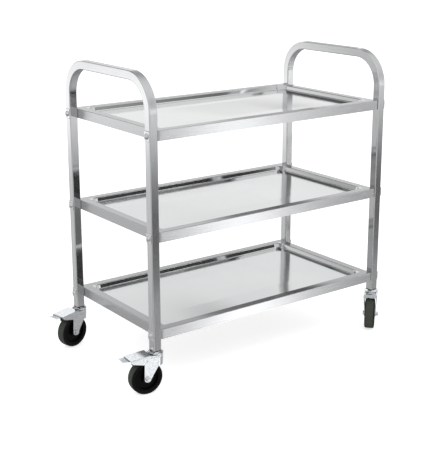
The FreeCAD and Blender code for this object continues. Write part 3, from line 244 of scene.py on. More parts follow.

# %% [markdown]
# ## Tray sheet: patches, grain and rim tops
#
# Rolling leaves faint cloudy patches on the pan, and the belt a grain along rim and skirt. Both
# are noise: the patches are as wide as they are long, the grain is drawn out along X. The tops of
# the rims get painted shade, and hands have worn them smoother; the surface normal tells them
# apart.

# %% Sheet finish, patterns
SATIN_GRAIN = (60 * MM, 0.8 * MM, 0.8 * MM)     # length, width and depth, coarser than real
PATCH_SIZE = 140 * MM
SLOPE, LEVEL = 0.6, 0.95                        # upward share of the normal, from skirt to rim
stretched = add_node(tree, "ShaderNodeVectorMath", {
    0: place, 1: [1 / size for size in SATIN_GRAIN]}, operation="MULTIPLY")
grain = add_node(tree, "ShaderNodeTexNoise", {
    "Vector": stretched.outputs[0], "Scale": 1.0, "Detail": 2.0}).outputs["Fac"]
patches = add_node(tree, "ShaderNodeTexNoise", {
    "Vector": place, "Scale": 1 / PATCH_SIZE, "Detail": 2.0}).outputs["Fac"]
normal = add_node(tree, "ShaderNodeNewGeometry").outputs["Normal"]
facing = add_node(tree, "ShaderNodeSeparateXYZ", {"Vector": normal}).outputs
rim_top = add_node(tree, "ShaderNodeMapRange", {
    "Value": facing["Z"], "From Min": SLOPE, "From Max": LEVEL}).outputs["Result"]
print("satin grain:", [round(size / MM, 1) for size in SATIN_GRAIN], "mm")

# %% [markdown]
# ## Tray sheet: colour and roughness
#
# The satin grain makes rim and skirt a little darker and much duller. The tops of the rims are
# darker still, which is painted shade, and hands have worn their grain smoother. Pan, skirt and
# rim each get a range of colour and one of roughness, their pattern picks from it, and the two
# masks join the three.

# %% Sheet finish, colour and roughness
PAN_ROUGHNESS, SKIRT_ROUGHNESS, RIM_ROUGHNESS = (0.07, 0.11), (0.18, 0.27), (0.10, 0.16)
# The third pair, for the rim tops, is drawn darker than the sheet as painted shade.
TONES = ("#d9dadb", "#dedfdf"), ("#c6c7c8", "#d4d5d6"), ("#acadae", "#b8b9ba")
patterns = (patches, grain, grain)              # of pan, skirts and rims, as the values above
pan_tone, skirt_tone, rim_tone_painted_shade = [
    add_node(tree, "ShaderNodeValToRGB", {"Fac": pattern},
             stops=[(0.3, colour(dark)), (0.7, colour(light))]).outputs["Color"]
    for pattern, (dark, light) in zip(patterns, TONES)]
pan_rough, skirt_rough, rim_rough = [
    add_node(tree, "ShaderNodeMapRange", {
        "Value": pattern, "To Min": low, "To Max": high}).outputs["Result"]
    for pattern, (low, high) in zip(patterns, (PAN_ROUGHNESS, SKIRT_ROUGHNESS, RIM_ROUGHNESS))]
# Where the normal points up, the rim tops take the darker tone, which is painted shade.
belted_tone = add_node(tree, "ShaderNodeMix", {
    "Factor": rim_top, 6: skirt_tone, 7: rim_tone_painted_shade}, data_type="RGBA").outputs[2]
belted_rough = add_node(tree, "ShaderNodeMix", {
    "Factor": rim_top, 2: skirt_rough, 3: rim_rough}).outputs[0]
tone = add_node(tree, "ShaderNodeMix", {
    "Factor": satin, 6: pan_tone, 7: belted_tone}, data_type="RGBA")
rough = add_node(tree, "ShaderNodeMix", {"Factor": satin, 2: pan_rough, 3: belted_rough})
tree.links.new(tone.outputs[2], shader.inputs["Base Color"])
tree.links.new(rough.outputs[0], shader.inputs["Roughness"])
print("roughness of pan, skirt and rim:", PAN_ROUGHNESS, SKIRT_ROUGHNESS, RIM_ROUGHNESS)

# %% [markdown]
# ## Tray sheet: direction of the grain
#
# A grain draws every mirror image out across itself. The shader does that when it is told a
# tangent, which is worked out from the surface normal and the X direction. On the ends of a tray
# both point the same way and leave no tangent, so a small vector along Y is added.

# %% Sheet finish, direction of the grain
END_TANGENT = (0, 0.01, 0)
across = add_node(tree, "ShaderNodeVectorMath", {0: normal, 1: (1, 0, 0)},
                  operation="CROSS_PRODUCT")
across = add_node(tree, "ShaderNodeVectorMath", {0: across.outputs[0], 1: END_TANGENT},
                  operation="ADD")
across = add_node(tree, "ShaderNodeVectorMath", {0: across.outputs[0]}, operation="NORMALIZE")
tree.links.new(across.outputs[0], shader.inputs["Tangent"])
print("anisotropy:", round(shader.inputs["Anisotropic"].default_value, 2))

# %% [markdown]
# ## Tray sheet: front rims that lean
#
# Thin sheet is never quite flat. In the middle of the front rims the skirt pulls the outer edge
# down, which turns the mirror image upwards, to the dark ceiling. The solids keep their flat rims,
# so a bump leans the normal: its height falls from the pan to the skirt, most in the free middle
# of the front side and not at all at the ends and at the back.

# %% Sheet finish, leaning front rims
RIM_WIDTH = 27 * MM
CROWN_HEIGHT = 3.5 * MM         # fall of the front rim's free middle, from the pan to the skirt
FIXED_END, FREE_FROM = 80 * MM, 300 * MM        # from the ends of the pan, where the bolts hold it
FRONT_FADE = 100 * MM
inward = add_node(tree, "ShaderNodeMapRange", {
    "Value": past_edge["Y"], "From Min": 0.0, "From Max": RIM_WIDTH, "To Min": 1.0, "To Max": 0.0})
free_span = add_node(tree, "ShaderNodeMapRange", {
    "Value": past_edge["X"], "From Min": -FIXED_END, "From Max": -FREE_FROM},
    interpolation_type="SMOOTHSTEP")
crown = add_node(tree, "ShaderNodeMath", {
    0: inward.outputs["Result"], 1: free_span.outputs["Result"]}, operation="MULTIPLY")
depth_wise = add_node(tree, "ShaderNodeSeparateXYZ", {"Vector": place}).outputs["Y"]
front_side = add_node(tree, "ShaderNodeMapRange", {
    "Value": depth_wise, "From Min": -FRONT_FADE, "From Max": FRONT_FADE,
    "To Min": CROWN_HEIGHT, "To Max": 0.0})
crown = add_node(tree, "ShaderNodeMath", {
    0: crown.outputs[0], 1: front_side.outputs["Result"]}, operation="MULTIPLY")
leaning = add_node(tree, "ShaderNodeBump", {
    "Height": crown.outputs[0], "Strength": 1.0, "Distance": 1.0})
bump = add_node(tree, "ShaderNodeBump", {
    "Height": grain, "Strength": 0.10, "Distance": SCRATCH_DEPTH,
    "Normal": leaning.outputs["Normal"]})
tree.links.new(bump.outputs["Normal"], shader.inputs["Normal"])
print("sheet finish:", len(tree.nodes), "nodes")

# %% [markdown]
# ## Bright zinc and bright bolts
#
# Fork, pedal, cups and axle hardware are pressed or turned steel with bright zinc plate. Zinc is
# bluer than stainless and a little cloudy, because the acid dip before plating etches the steel
# in patches a few millimetres wide. The tray bolts are polished stainless, almost a mirror. Both
# are made alike, so one function makes them.

# %% Hardware finishes
def plated_steel(name, dull, bright, roughness, patch):
    """Plated or polished steel with cloudy patches, the brighter the smoother."""
    material, tree, shader = start_material(name, {"Metallic": 1.0})
    place = add_node(tree, "ShaderNodeTexCoord").outputs["Object"]
    cloud = add_node(tree, "ShaderNodeTexNoise", {
        "Vector": place, "Scale": 1 / patch, "Detail": 5.0, "Roughness": 0.6}).outputs["Fac"]
    tone = add_node(tree, "ShaderNodeValToRGB", {"Fac": cloud},
                    stops=[(0.35, colour(dull)), (0.65, colour(bright))])
    tree.links.new(tone.outputs["Color"], shader.inputs["Base Color"])
    rough = add_node(tree, "ShaderNodeMapRange", {
        "Value": cloud, "To Min": roughness[1], "To Max": roughness[0]})
    tree.links.new(rough.outputs["Result"], shader.inputs["Roughness"])
    bump = add_node(tree, "ShaderNodeBump", {
        "Height": cloud, "Strength": 0.2, "Distance": 0.05 * MM})
    tree.links.new(bump.outputs["Normal"], shader.inputs["Normal"])
    return material


zinc_plate = plated_steel(
    "steel, bright zinc plated", "#e2e6ea", "#f4f6f8", roughness=(0.09, 0.20), patch=5 * MM)
polished_bolt = plated_steel(
    "stainless steel, polished", "#d8d9da", "#ebecec", roughness=(0.06, 0.14), patch=8 * MM)
print("hardware finishes:", zinc_plate.name, "and", polished_bolt.name)

# %% [markdown]
# ## Moulded plastics and rubber
#
# The wheel core is polypropylene from a spark-eroded mould, so it is black with a fine matt
# grain. The plugs in the legs are nylon, a little glossier, and the brake block is plain black
# rubber. To model the grain of the mould would take millions of faces, so it is a bump, and
# patches of dust lighten the colour.

# %% Plastic and rubber finishes
DUST_SIZE = 25 * MM
LESS_ROUGH, MORE_ROUGH = 0.06, 0.08             # where there is no dust, and where it is thick


def moulded(name, dark, light, roughness, grain, depth, ior, specular=0.5):
    """Moulded plastic or rubber, with a mould grain of the given size and depth."""
    material, tree, shader = start_material(name, {"IOR": ior, "Specular IOR Level": specular})
    place = add_node(tree, "ShaderNodeTexCoord").outputs["Object"]
    skin = add_node(tree, "ShaderNodeTexNoise", {
        "Vector": place, "Scale": 1 / grain, "Detail": 3.0}).outputs["Fac"]
    dust = add_node(tree, "ShaderNodeTexNoise", {
        "Vector": place, "Scale": 1 / DUST_SIZE, "Detail": 4.0}).outputs["Fac"]
    tone = add_node(tree, "ShaderNodeValToRGB", {"Fac": dust},
                    stops=[(0.35, colour(dark)), (0.75, colour(light))])
    tree.links.new(tone.outputs["Color"], shader.inputs["Base Color"])
    rough = add_node(tree, "ShaderNodeMapRange", {
        "Value": dust, "To Min": roughness - LESS_ROUGH, "To Max": roughness + MORE_ROUGH})
    tree.links.new(rough.outputs["Result"], shader.inputs["Roughness"])
    bump = add_node(tree, "ShaderNodeBump", {"Height": skin, "Strength": 0.35, "Distance": depth})
    tree.links.new(bump.outputs["Normal"], shader.inputs["Normal"])
    return material


core_plastic = moulded("polypropylene, moulded black", "#030303", "#080809", 0.52,
                       grain=0.6 * MM, depth=0.05 * MM, ior=1.49, specular=0.1)
nylon_plug = moulded("nylon, moulded black", "#101011", "#1a1a1b", 0.42,
                     grain=0.6 * MM, depth=0.05 * MM, ior=1.53)
brake_rubber = moulded("rubber, moulded black", "#121212", "#202020", 0.66,
                       grain=0.8 * MM, depth=0.1 * MM, ior=1.52)
print("plastics and rubber:", core_plastic.name, "|", nylon_plug.name, "|", brake_rubber.name)

# %% [markdown]
# ## Finishes on the solids
#
# Every solid gets its finish here, by what the piece is. A solid holds one material, so its slots
# are cleared and filled once. The plain tyres get one too, though moulded tyres replace them
# below.

# %% Give the solids their finishes
FINISHES = {
    "end_frame": tube_finish, "channel": sheet_finish, "tray": sheet_finish,
    "tray_bolts": polished_bolt, "tray_saddle_plates": polished_bolt, "tray_nuts": polished_bolt,
    "leg_insert": nylon_plug, "wheel_core": core_plastic, "tyre": brake_rubber,
    "brake_shoe": brake_rubber,
}


def finish_of(node):
    """Finish of a solid by the longest key that its name ends with; plated steel otherwise."""
    keys = [key for key in FINISHES if node.endswith(key)]
    return FINISHES[max(keys, key=len)] if keys else zinc_plate


for name, solid in nodes.items():
    solid.data.materials.clear()
    solid.data.materials.append(finish_of(name))
print("finishes given to", len(nodes), "solids")

# %% [markdown]
# ## Working by hand, in code
#
# The new pieces are modelled as by hand: a primitive is added and then bevelled, spun or extruded
# in edit mode. An operator acts on what is selected, so three helpers do what the mouse would:
# make one object active, pick vertices or edges by their place, and put copies of a finished
# piece where it belongs. Each piece is modelled once, at the origin, and only its copies stay.

# %% Helpers for modelling
SMOOTH_BELOW = math.radians(35)


def only(obj):
    """Makes one object the only selected and active one."""
    bpy.ops.object.select_all(action="DESELECT")
    obj.select_set(True)
    bpy.context.view_layer.objects.active = obj


def pick(obj, element, wanted):
    """Selects, in edit mode, the vertices or edges of a mesh whose middle passes the test."""
    bpy.ops.object.mode_set(mode="EDIT")
    bpy.ops.mesh.select_mode(type="VERT" if element == "vertices" else "EDGE")
    bpy.ops.mesh.select_all(action="DESELECT")
    bpy.ops.object.mode_set(mode="OBJECT")
    points = [v.co.copy() for v in obj.data.vertices]
    for item in getattr(obj.data, element):
        ends = [points[i] for i in ([item.index] if element == "vertices" else item.vertices)]
        item.select = wanted(sum(ends, Vector()) / len(ends))
    bpy.ops.object.mode_set(mode="EDIT")


def put_copy(piece, name, place, turn):
    """Copy of a piece, with a mesh of its own, which is turned about the origin and moved."""
    only(piece)
    bpy.ops.object.duplicate(linked=False)
    copy = bpy.context.object
    copy.name = name
    copy.rotation_euler, copy.location = turn, place
    bpy.ops.object.transform_apply(location=True, rotation=True, scale=True)
    return copy


print("faces that meet at under", round(math.degrees(SMOOTH_BELOW)), "degrees are shaded smooth")

# %% [markdown]
# ## Rubber of the tyres
#
# The tyre is thermoplastic rubber, a greyer black than the core, dusty on the tread where it
# rolls and cleaner on the side walls. The dust has to follow the ring, so it reads the tyre's own
# UV map, which the next cells make: once round the tyre in U, from bead to tread in V.

# %% Tyre finish
SCUFFS_ROUND, SCUFFS_ACROSS = 90, 12
tread_finish, tree, shader = start_material(
    "thermoplastic rubber, moulded tyre", {"IOR": 1.5, "Specular IOR Level": 0.15})
ring = add_node(tree, "ShaderNodeUVMap", uv_map="ring").outputs["UV"]
split = add_node(tree, "ShaderNodeSeparateXYZ", {"Vector": ring}).outputs
stretched = add_node(tree, "ShaderNodeVectorMath", {0: ring, 1: (SCUFFS_ROUND, SCUFFS_ACROSS, 1)},
                     operation="MULTIPLY")
scuffs = add_node(tree, "ShaderNodeTexNoise", {
    "Vector": stretched.outputs[0], "Scale": 1.0, "Detail": 5.0}).outputs["Fac"]
patchy = add_node(tree, "ShaderNodeMapRange", {"Value": scuffs, "To Min": 0.75, "To Max": 1.25})
dust = add_node(tree, "ShaderNodeMath", {0: split["Y"], 1: patchy.outputs["Result"]},
                operation="MULTIPLY").outputs[0]
tone = add_node(tree, "ShaderNodeValToRGB", {"Fac": dust},
                stops=[(0.25, colour("#050505")), (1.0, colour("#4c5049"))])
tree.links.new(tone.outputs["Color"], shader.inputs["Base Color"])
rough = add_node(tree, "ShaderNodeMapRange", {"Value": dust, "To Min": 0.5, "To Max": 0.75})
tree.links.new(rough.outputs["Result"], shader.inputs["Roughness"])
bump = add_node(tree, "ShaderNodeBump", {"Height": scuffs, "Strength": 0.3, "Distance": 0.1 * MM})
tree.links.new(bump.outputs["Normal"], shader.inputs["Normal"])
print("tyre finish:", len(tree.nodes), "nodes")

# %% [markdown]
# ## Tyre: outline of its section
#
# A tyre is moulded as a ring, narrower at the wheel and round at the shoulders of its tread. A
# ready-made torus is round all over, so the section is drawn first. It starts as a flat face: the
# corners at the wheel are cut, those at the tread are rounded, and only the outline is kept.

# %% Tyre outline
TYRE_OUTER, TYRE_INNER, TYRE_WIDTH = 47.5 * MM, 38 * MM, 30 * MM
TREAD_CROWN = 0.35 * MM         # middle of the tread above its shoulders
FLASH_WIDTH, FLASH_HEIGHT = 0.8 * MM, 0.15 * MM
BEAD_BEVEL, SHOULDER_BEVEL = 2 * MM, 4.5 * MM
shoulder = TYRE_OUTER - FLASH_HEIGHT - TREAD_CROWN
depth = shoulder - TYRE_INNER
middle = TYRE_INNER + depth / 2
bpy.ops.object.select_all(action="DESELECT")
bpy.ops.mesh.primitive_plane_add(size=1, location=(0, 0, middle), rotation=(0, math.pi / 2, 0))
tyre = bpy.context.object
tyre.name = "tyre_master"
tyre.scale = (depth, TYRE_WIDTH, 1)
bpy.ops.object.transform_apply(location=True, rotation=True, scale=True)
pick(tyre, "vertices", lambda p: p.z < middle)
bpy.ops.mesh.bevel(offset=BEAD_BEVEL, segments=1, affect="VERTICES")
pick(tyre, "vertices", lambda p: p.z > middle)
bpy.ops.mesh.bevel(offset=SHOULDER_BEVEL, segments=5, affect="VERTICES")
bpy.ops.mesh.select_all(action="SELECT")
bpy.ops.mesh.delete(type="ONLY_FACE")
bpy.ops.object.mode_set(mode="OBJECT")
print("points of the outline:", len(tyre.data.vertices))

# %% [markdown]
# ## Tyre: crown and flash line
#
# The tread is slightly crowned, so that the wheel turns easily on the spot. Its edge is divided
# and the middle lifted in three steps. The halves of the mould never close quite tightly, and the
# rubber that creeps between them leaves a flash line: the middle point becomes a fine ridge.

# %% Tyre crown and flash line
CROWN_STEPS = ((0.62, 0.4), (0.4, 0.3), (0.2, 0.3))      # share of the width, share of the crown
TINY = 0.01 * MM
pick(tyre, "edges", lambda p: p.z > shoulder - TINY)
bpy.ops.mesh.subdivide(number_cuts=7)
for width_share, lift_share in CROWN_STEPS:
    pick(tyre, "vertices", lambda p: p.z > shoulder - TINY
         and abs(p.y) < width_share * TYRE_WIDTH / 2)
    bpy.ops.transform.translate(value=(0, 0, lift_share * TREAD_CROWN))
pick(tyre, "vertices", lambda p: p.z > middle and abs(p.y) < FLASH_WIDTH / 2)
bpy.ops.mesh.bevel(offset=FLASH_WIDTH / 2, segments=2, affect="VERTICES")
pick(tyre, "vertices", lambda p: p.z > middle and abs(p.y) < FLASH_WIDTH / 4)
bpy.ops.transform.translate(value=(0, 0, FLASH_HEIGHT))
bpy.ops.object.mode_set(mode="OBJECT")
print("tread radius:", round(max(v.co.z for v in tyre.data.vertices) / MM, 2), "mm")

# %% [markdown]
# ## Tyre: spin
#
# The outline is spun a full turn round the axle. It ends where it began, and the operator merges
# the points that meet there. A spin can leave a shape inside out, so the faces are then turned
# outwards.

# %% Tyre spin
SPIN_STEPS = 96
bpy.ops.object.mode_set(mode="EDIT")
bpy.ops.mesh.select_all(action="SELECT")
bpy.ops.mesh.spin(steps=SPIN_STEPS, angle=2 * math.pi, use_auto_merge=True,
                  center=(0, 0, 0), axis=(0, 1, 0))
bpy.ops.mesh.select_all(action="SELECT")
bpy.ops.mesh.normals_make_consistent(inside=False)
bpy.ops.object.mode_set(mode="OBJECT")
print("tyre:", len(tyre.data.polygons), "faces")

# %% [markdown]
# ## Tyre: its own map
#
# The dust lies on the tread and fades over the shoulders. The map gives each corner of a face its
# turn round the axle and its height from bead to tread. Past the shoulder the height sinks again,
# so the side walls stay dark. A face that crosses the seam counts on past a full turn.

# %% Tyre map
SHOULDER_SHARE = 0.72           # of half the width, where the tread ends
WALL_FADE = 0.9


def map_ring(tyre):
    """UV map "ring": once round the tyre in U, and from bead to tread in V."""
    layer = tyre.data.uv_layers.new(name="ring")
    points = [v.co for v in tyre.data.vertices]
    for face in tyre.data.polygons:
        turns = [math.atan2(points[i].x, points[i].z) / (2 * math.pi) for i in face.vertices]
        crosses_seam = max(turns) - min(turns) > 0.5
        for loop, i, turn in zip(face.loop_indices, face.vertices, turns):
            radius = math.hypot(points[i].x, points[i].z)
            outwards = abs(points[i].y) / (TYRE_WIDTH / 2) - SHOULDER_SHARE
            wall = min(1, max(0, outwards) / (1 - SHOULDER_SHARE))
            height = max(0, min(1, (radius - TYRE_INNER) / (TYRE_OUTER - TYRE_INNER)))
            layer.data[loop].uv = (turn + 1 if crosses_seam and turn < 0 else turn,
                                   height * (1 - WALL_FADE * wall))


map_ring(tyre)
print("mapped corners:", len(tyre.data.uv_layers["ring"].data))

# %% [markdown]
# ## Tyre: one for each wheel
#
# The first tyre is shaded smooth and copied, each copy with its own mesh. A copy is turned from
# the Y axis onto its wheel's axle. It rides on the wheel and stands for the plain tyre of the
# solids, which is hidden.

# %% Four tyres
only(tyre)
bpy.ops.object.shade_smooth_by_angle(angle=SMOOTH_BELOW)
tyre.data.materials.append(tread_finish)
for corner in CORNERS:
    place, axis = axles[corner]
    copy = put_copy(tyre, corner + "_moulded_tyre", place,
                    Vector((0, 1, 0)).rotation_difference(axis).to_euler())
    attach(copy, corner + "_wheel")
    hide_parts(corner + "_tyre")
only(tyre)
bpy.ops.object.delete()
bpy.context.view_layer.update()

# %% [markdown]
# ## Collar of a lock nut
#
# A lock nut grips the axle bolt with a nylon ring that its outer end is crimped over. The ring
# shows as a pale collar round the end of the thread. It is a short tube with a soft outer edge: a
# disc is inset to a flat ring, pulled out, and bevelled at its far end.

# %% Nylon collar
COLLAR_OUTER, COLLAR_INNER, COLLAR_HEIGHT = 5.6 * MM, 4.15 * MM, 1.1 * MM
COLLAR_BEVEL = 0.3 * MM
bpy.ops.object.select_all(action="DESELECT")
bpy.ops.mesh.primitive_circle_add(vertices=40, radius=COLLAR_OUTER, fill_type="NGON",
                                  location=(0, 0, 0), rotation=(-math.pi / 2, 0, 0))
collar = bpy.context.object
collar.name = "collar_master"
bpy.ops.object.transform_apply(location=True, rotation=True, scale=True)
bpy.ops.object.mode_set(mode="EDIT")
bpy.ops.mesh.select_all(action="SELECT")
bpy.ops.mesh.inset(thickness=COLLAR_OUTER - COLLAR_INNER)
bpy.ops.mesh.delete(type="FACE")
bpy.ops.mesh.select_all(action="SELECT")
bpy.ops.mesh.extrude_region_move(TRANSFORM_OT_translate={"value": (0, COLLAR_HEIGHT, 0)})
bpy.ops.mesh.select_all(action="SELECT")
bpy.ops.mesh.normals_make_consistent(inside=False)
pick(collar, "edges", lambda p: p.y > COLLAR_HEIGHT - TINY)
bpy.ops.mesh.bevel(offset=COLLAR_BEVEL, segments=2, affect="EDGES")
bpy.ops.object.mode_set(mode="OBJECT")
bpy.ops.object.shade_smooth_by_angle(angle=SMOOTH_BELOW)
print("collar:", len(collar.data.polygons), "faces")

# %% [markdown]
# ## Collars on the four nuts
#
# The nuts point to different sides, because the casters do. The direction from the middle of a
# wheel to its nut turns the collar, and the farthest point of the nut tells where it sits.

# %% Collars on the nuts
collar_nylon = moulded("nylon, natural", "#cfd2d0", "#dfe1df", 0.4,
                       grain=0.5 * MM, depth=0.03 * MM, ior=1.53)
collar.data.materials.append(collar_nylon)
for corner in CORNERS:
    wheel_middle, _ = axles[corner]
    nut_low, nut_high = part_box(corner + "_axle_nut")
    outwards = ((nut_low + nut_high) / 2 - wheel_middle).normalized()
    reach = max((Vector(v.co) - wheel_middle).dot(outwards)
                for v in nodes[corner + "_axle_nut"].data.vertices)
    copy = put_copy(collar, corner + "_nut_collar", wheel_middle + outwards * reach,
                    Vector((0, 1, 0)).rotation_difference(outwards).to_euler())
    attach(copy, corner + "_swivel")
    print(corner, "nut reaches", round(reach / MM, 1), "mm from the middle of the wheel")
only(collar)
bpy.ops.object.delete()

# %% [markdown]
# ## Rib of a pedal tread
#
# The tread of a brake pedal has three pressed ribs, so that a shoe doesn't slip off. A bump in the
# material wouldn't stand out at the edge of the pedal, so the ribs are modelled. A block is
# bevelled along its upright edges to round ends, and along its top edges to a soft crest.

# %% Pressed rib
RIB_LENGTH, RIB_WIDTH, RIB_HEIGHT = 24 * MM, 1.8 * MM, 0.7 * MM
END_SHARE, CREST_SHARE = 0.49, 0.35     # of the width, which the bevels take
CREST_SMOOTH_BELOW = math.radians(40)
bpy.ops.object.select_all(action="DESELECT")
bpy.ops.mesh.primitive_cube_add(size=1, location=(0, 0, 0))
rib = bpy.context.object
rib.name = "rib_master"
rib.scale = (RIB_WIDTH, RIB_LENGTH, 2 * RIB_HEIGHT)
bpy.ops.object.transform_apply(location=True, rotation=True, scale=True)
pick(rib, "edges", lambda p: abs(p.z) < TINY)
bpy.ops.mesh.bevel(offset=END_SHARE * RIB_WIDTH, segments=4, affect="EDGES")
pick(rib, "edges", lambda p: p.z > RIB_HEIGHT - TINY)
bpy.ops.mesh.bevel(offset=CREST_SHARE * RIB_WIDTH, segments=3, affect="EDGES")
bpy.ops.object.mode_set(mode="OBJECT")
bpy.ops.object.shade_smooth_by_angle(angle=CREST_SMOOTH_BELOW)
print("rib:", len(rib.data.polygons), "faces")

# %% [markdown]
# ## Ribs on the two pedals
#
# A caster trails behind its stem, in another direction at each corner. The ribs lie across that
# direction, at three distances from the stem, and as high as the pedal's tread, which rises a
# little to the back. Their lower halves are sunk in the sheet.

# %% Ribs on the pedals
RIBS_BEHIND_STEM = (90 * MM, 94.2 * MM, 98.4 * MM)
TREAD_LEVEL, TREAD_START, TREAD_SLOPE = 109.05 * MM, 87.1 * MM, 0.0602
rib.data.materials.append(zinc_plate)
for corner in BRAKED:
    wheel_middle, _ = axles[corner]
    stem = Vector(joints[corner + "_swivel_turn"]["pos_m"])
    trailing = Vector((wheel_middle.x - stem.x, wheel_middle.y - stem.y, 0)).normalized()
    for count, behind_stem in enumerate(RIBS_BEHIND_STEM, start=1):
        level = TREAD_LEVEL + (behind_stem - TREAD_START) * TREAD_SLOPE
        copy = put_copy(rib, "%s_tread_rib_%d" % (corner, count),
                        Vector((stem.x, stem.y, level)) + behind_stem * trailing,
                        (0, 0, math.atan2(trailing.y, trailing.x)))
        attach(copy, corner + "_brake")
only(rib)
bpy.ops.object.delete()
print("tread ribs:", len(BRAKED) * len(RIBS_BEHIND_STEM))

# %% [markdown]
# ## Floor
#
# The cart stands on a plain white floor, as for a catalogue. A large plane does for it. It glows
# for the camera only, so that it comes out white and still keeps a faint shadow. The polished
# metal doesn't see it, because the mirrored room below has a floor of its own.

# %% Floor
FLOOR_SIZE = 60                 # metres
FLOOR_GLOW = 0.62
bpy.ops.object.select_all(action="DESELECT")
bpy.ops.mesh.primitive_plane_add(size=FLOOR_SIZE, location=(0, 0, 0))
floor = bpy.context.object
floor.name = "studio_floor"
floor_finish, tree, shader = start_material("painted floor, matt white", {
    "Base Color": colour("#f2f2f2"), "Roughness": 0.9, "Emission Color": colour("#ffffff")})
rays = add_node(tree, "ShaderNodeLightPath")
glow = add_node(tree, "ShaderNodeMath", {0: rays.outputs["Is Camera Ray"], 1: FLOOR_GLOW},
                operation="MULTIPLY")
tree.links.new(glow.outputs[0], shader.inputs["Emission Strength"])
floor.data.materials.append(floor_finish)
floor.visible_glossy = False
print("floor side:", FLOOR_SIZE, "m")

# %% [markdown]
# ## Directions in the room that the metal mirrors
#
# Polished metal has hardly a colour of its own. It shows the room, so the room has to be made. It
# could be built from planes, but only its mirror image matters, so it is drawn on the sky instead:
# each direction gets a grey. Three angles name a direction: its height, and how far it points to
# the right, counted from straight behind the cart or from straight ahead of it.

# %% Angles of a direction
world = bpy.data.worlds.new("white studio")
bpy.context.scene.world = world
world.use_nodes = True
studio = world.node_tree
studio.nodes.clear()


def in_degrees(kind, *values):
    """Angle in degrees by an inverse function of the values."""
    turn = add_node(studio, "ShaderNodeMath", dict(enumerate(values)), operation=kind).outputs[0]
    return add_node(studio, "ShaderNodeMath", {0: turn, 1: 180 / math.pi},
                    operation="MULTIPLY").outputs[0]


toward = add_node(studio, "ShaderNodeTexCoord").outputs["Generated"]
toward = add_node(studio, "ShaderNodeSeparateXYZ", {"Vector": toward}).outputs
to_front = add_node(studio, "ShaderNodeMath", {0: toward["Y"], 1: -1.0}, operation="MULTIPLY")
height = in_degrees("ARCSINE", toward["Z"])
behind = in_degrees("ARCTAN2", toward["X"], toward["Y"])
ahead = in_degrees("ARCTAN2", toward["X"], to_front.outputs[0])
print("nodes that tell directions:", len(studio.nodes))

# %% [markdown]
# ## Walls of the mirrored room
#
# Each wall is a grey that changes with height. Behind the cart hangs a white backdrop, with a
# dark ceiling over it. Ahead the studio is unlit at the foot and bright at eye level. The sides
# are in between. A colour ramp with a stop for each height draws such a wall, and ramps to the
# sides fade one wall into the next.

# %% Walls of the mirrored room
BACK_WALL = [(-30, 0.40), (-24, 0.45), (-21.5, 0.60), (-17.5, 0.72), (-14, 0.76), (-12.5, 0.92),
             (-11, 1.20), (-9, 1.42), (-6, 1.10), (2, 0.50), (6.2, 0.42), (7.8, 1.02),
             (9.8, 1.10), (14, 0.98), (22, 0.96), (25.5, 0.12), (37, 0.10), (45, 0.40),
             (60, 0.45)]
FRONT_WALL = [(-30, 0.40), (-20.6, 0.40), (-19.1, 0.23), (-17.8, 0.18), (-15.8, 0.165),
              (-14.2, 0.28), (-12.5, 0.54), (-10.4, 0.85), (-4, 1.0), (6, 1.05), (16, 0.92),
              (26, 0.75), (38, 1.1), (60, 1.0)]
SIDE_WALL = [(-60, 0.35), (-25, 0.45), (-10, 0.65), (2, 0.80), (30, 0.75), (60, 0.90)]
BACK_WALL_EDGES = [(-44.5, 0), (-41.5, 0.5), (-40.2, 1), (62, 1), (68, 0)]
FRONT_WALL_EDGES = [(12, 0), (22, 1), (52, 1), (62, 0)]
SKEW_FROM, SKEW_TO, SKEW = 33, 45, 2.1      # the front wall rises by SKEW degrees to the right


def levels(angle, stops):
    """Grey that follows an angle in degrees through the given (angle, level) stops."""
    first, last = stops[0][0], stops[-1][0]
    share = add_node(studio, "ShaderNodeMapRange", {
        "Value": angle, "From Min": first, "From Max": last}).outputs["Result"]
    return add_node(studio, "ShaderNodeValToRGB", {"Fac": share}, stops=[
        ((degrees - first) / (last - first), (level, level, level, 1))
        for degrees, level in stops]).outputs["Color"]


skew = add_node(studio, "ShaderNodeMapRange", {
    "Value": ahead, "From Min": SKEW_FROM, "From Max": SKEW_TO, "To Min": 0, "To Max": SKEW})
front_height = add_node(studio, "ShaderNodeMath", {0: height, 1: skew.outputs["Result"]},
                        operation="SUBTRACT").outputs[0]
room = levels(height, SIDE_WALL)
for angle, edges, wall_height, wall in (
        (ahead, FRONT_WALL_EDGES, front_height, FRONT_WALL),
        (behind, BACK_WALL_EDGES, height, BACK_WALL)):
    room = add_node(studio, "ShaderNodeMix", {
        "Factor": levels(angle, edges), 6: room, 7: levels(wall_height, wall)},
        data_type="RGBA").outputs[2]
print("stops of back, front and side wall:", len(BACK_WALL), len(FRONT_WALL), len(SIDE_WALL))

# %% [markdown]
# ## Panels and cards of the mirrored room
#
# A photographer puts white panels and black cards round polished things, because their mirror
# images draw the edges. A tall panel ahead gives the front skirts their bright middle, and leaves
# a slit where the back right leg would mirror it and vanish against the white. A low panel
# lights the front left fork, and a high card the pedals. A black column darkens the pan walls, and
# a grey card the inside of the right legs. Each is a rectangle of directions laid over the walls.

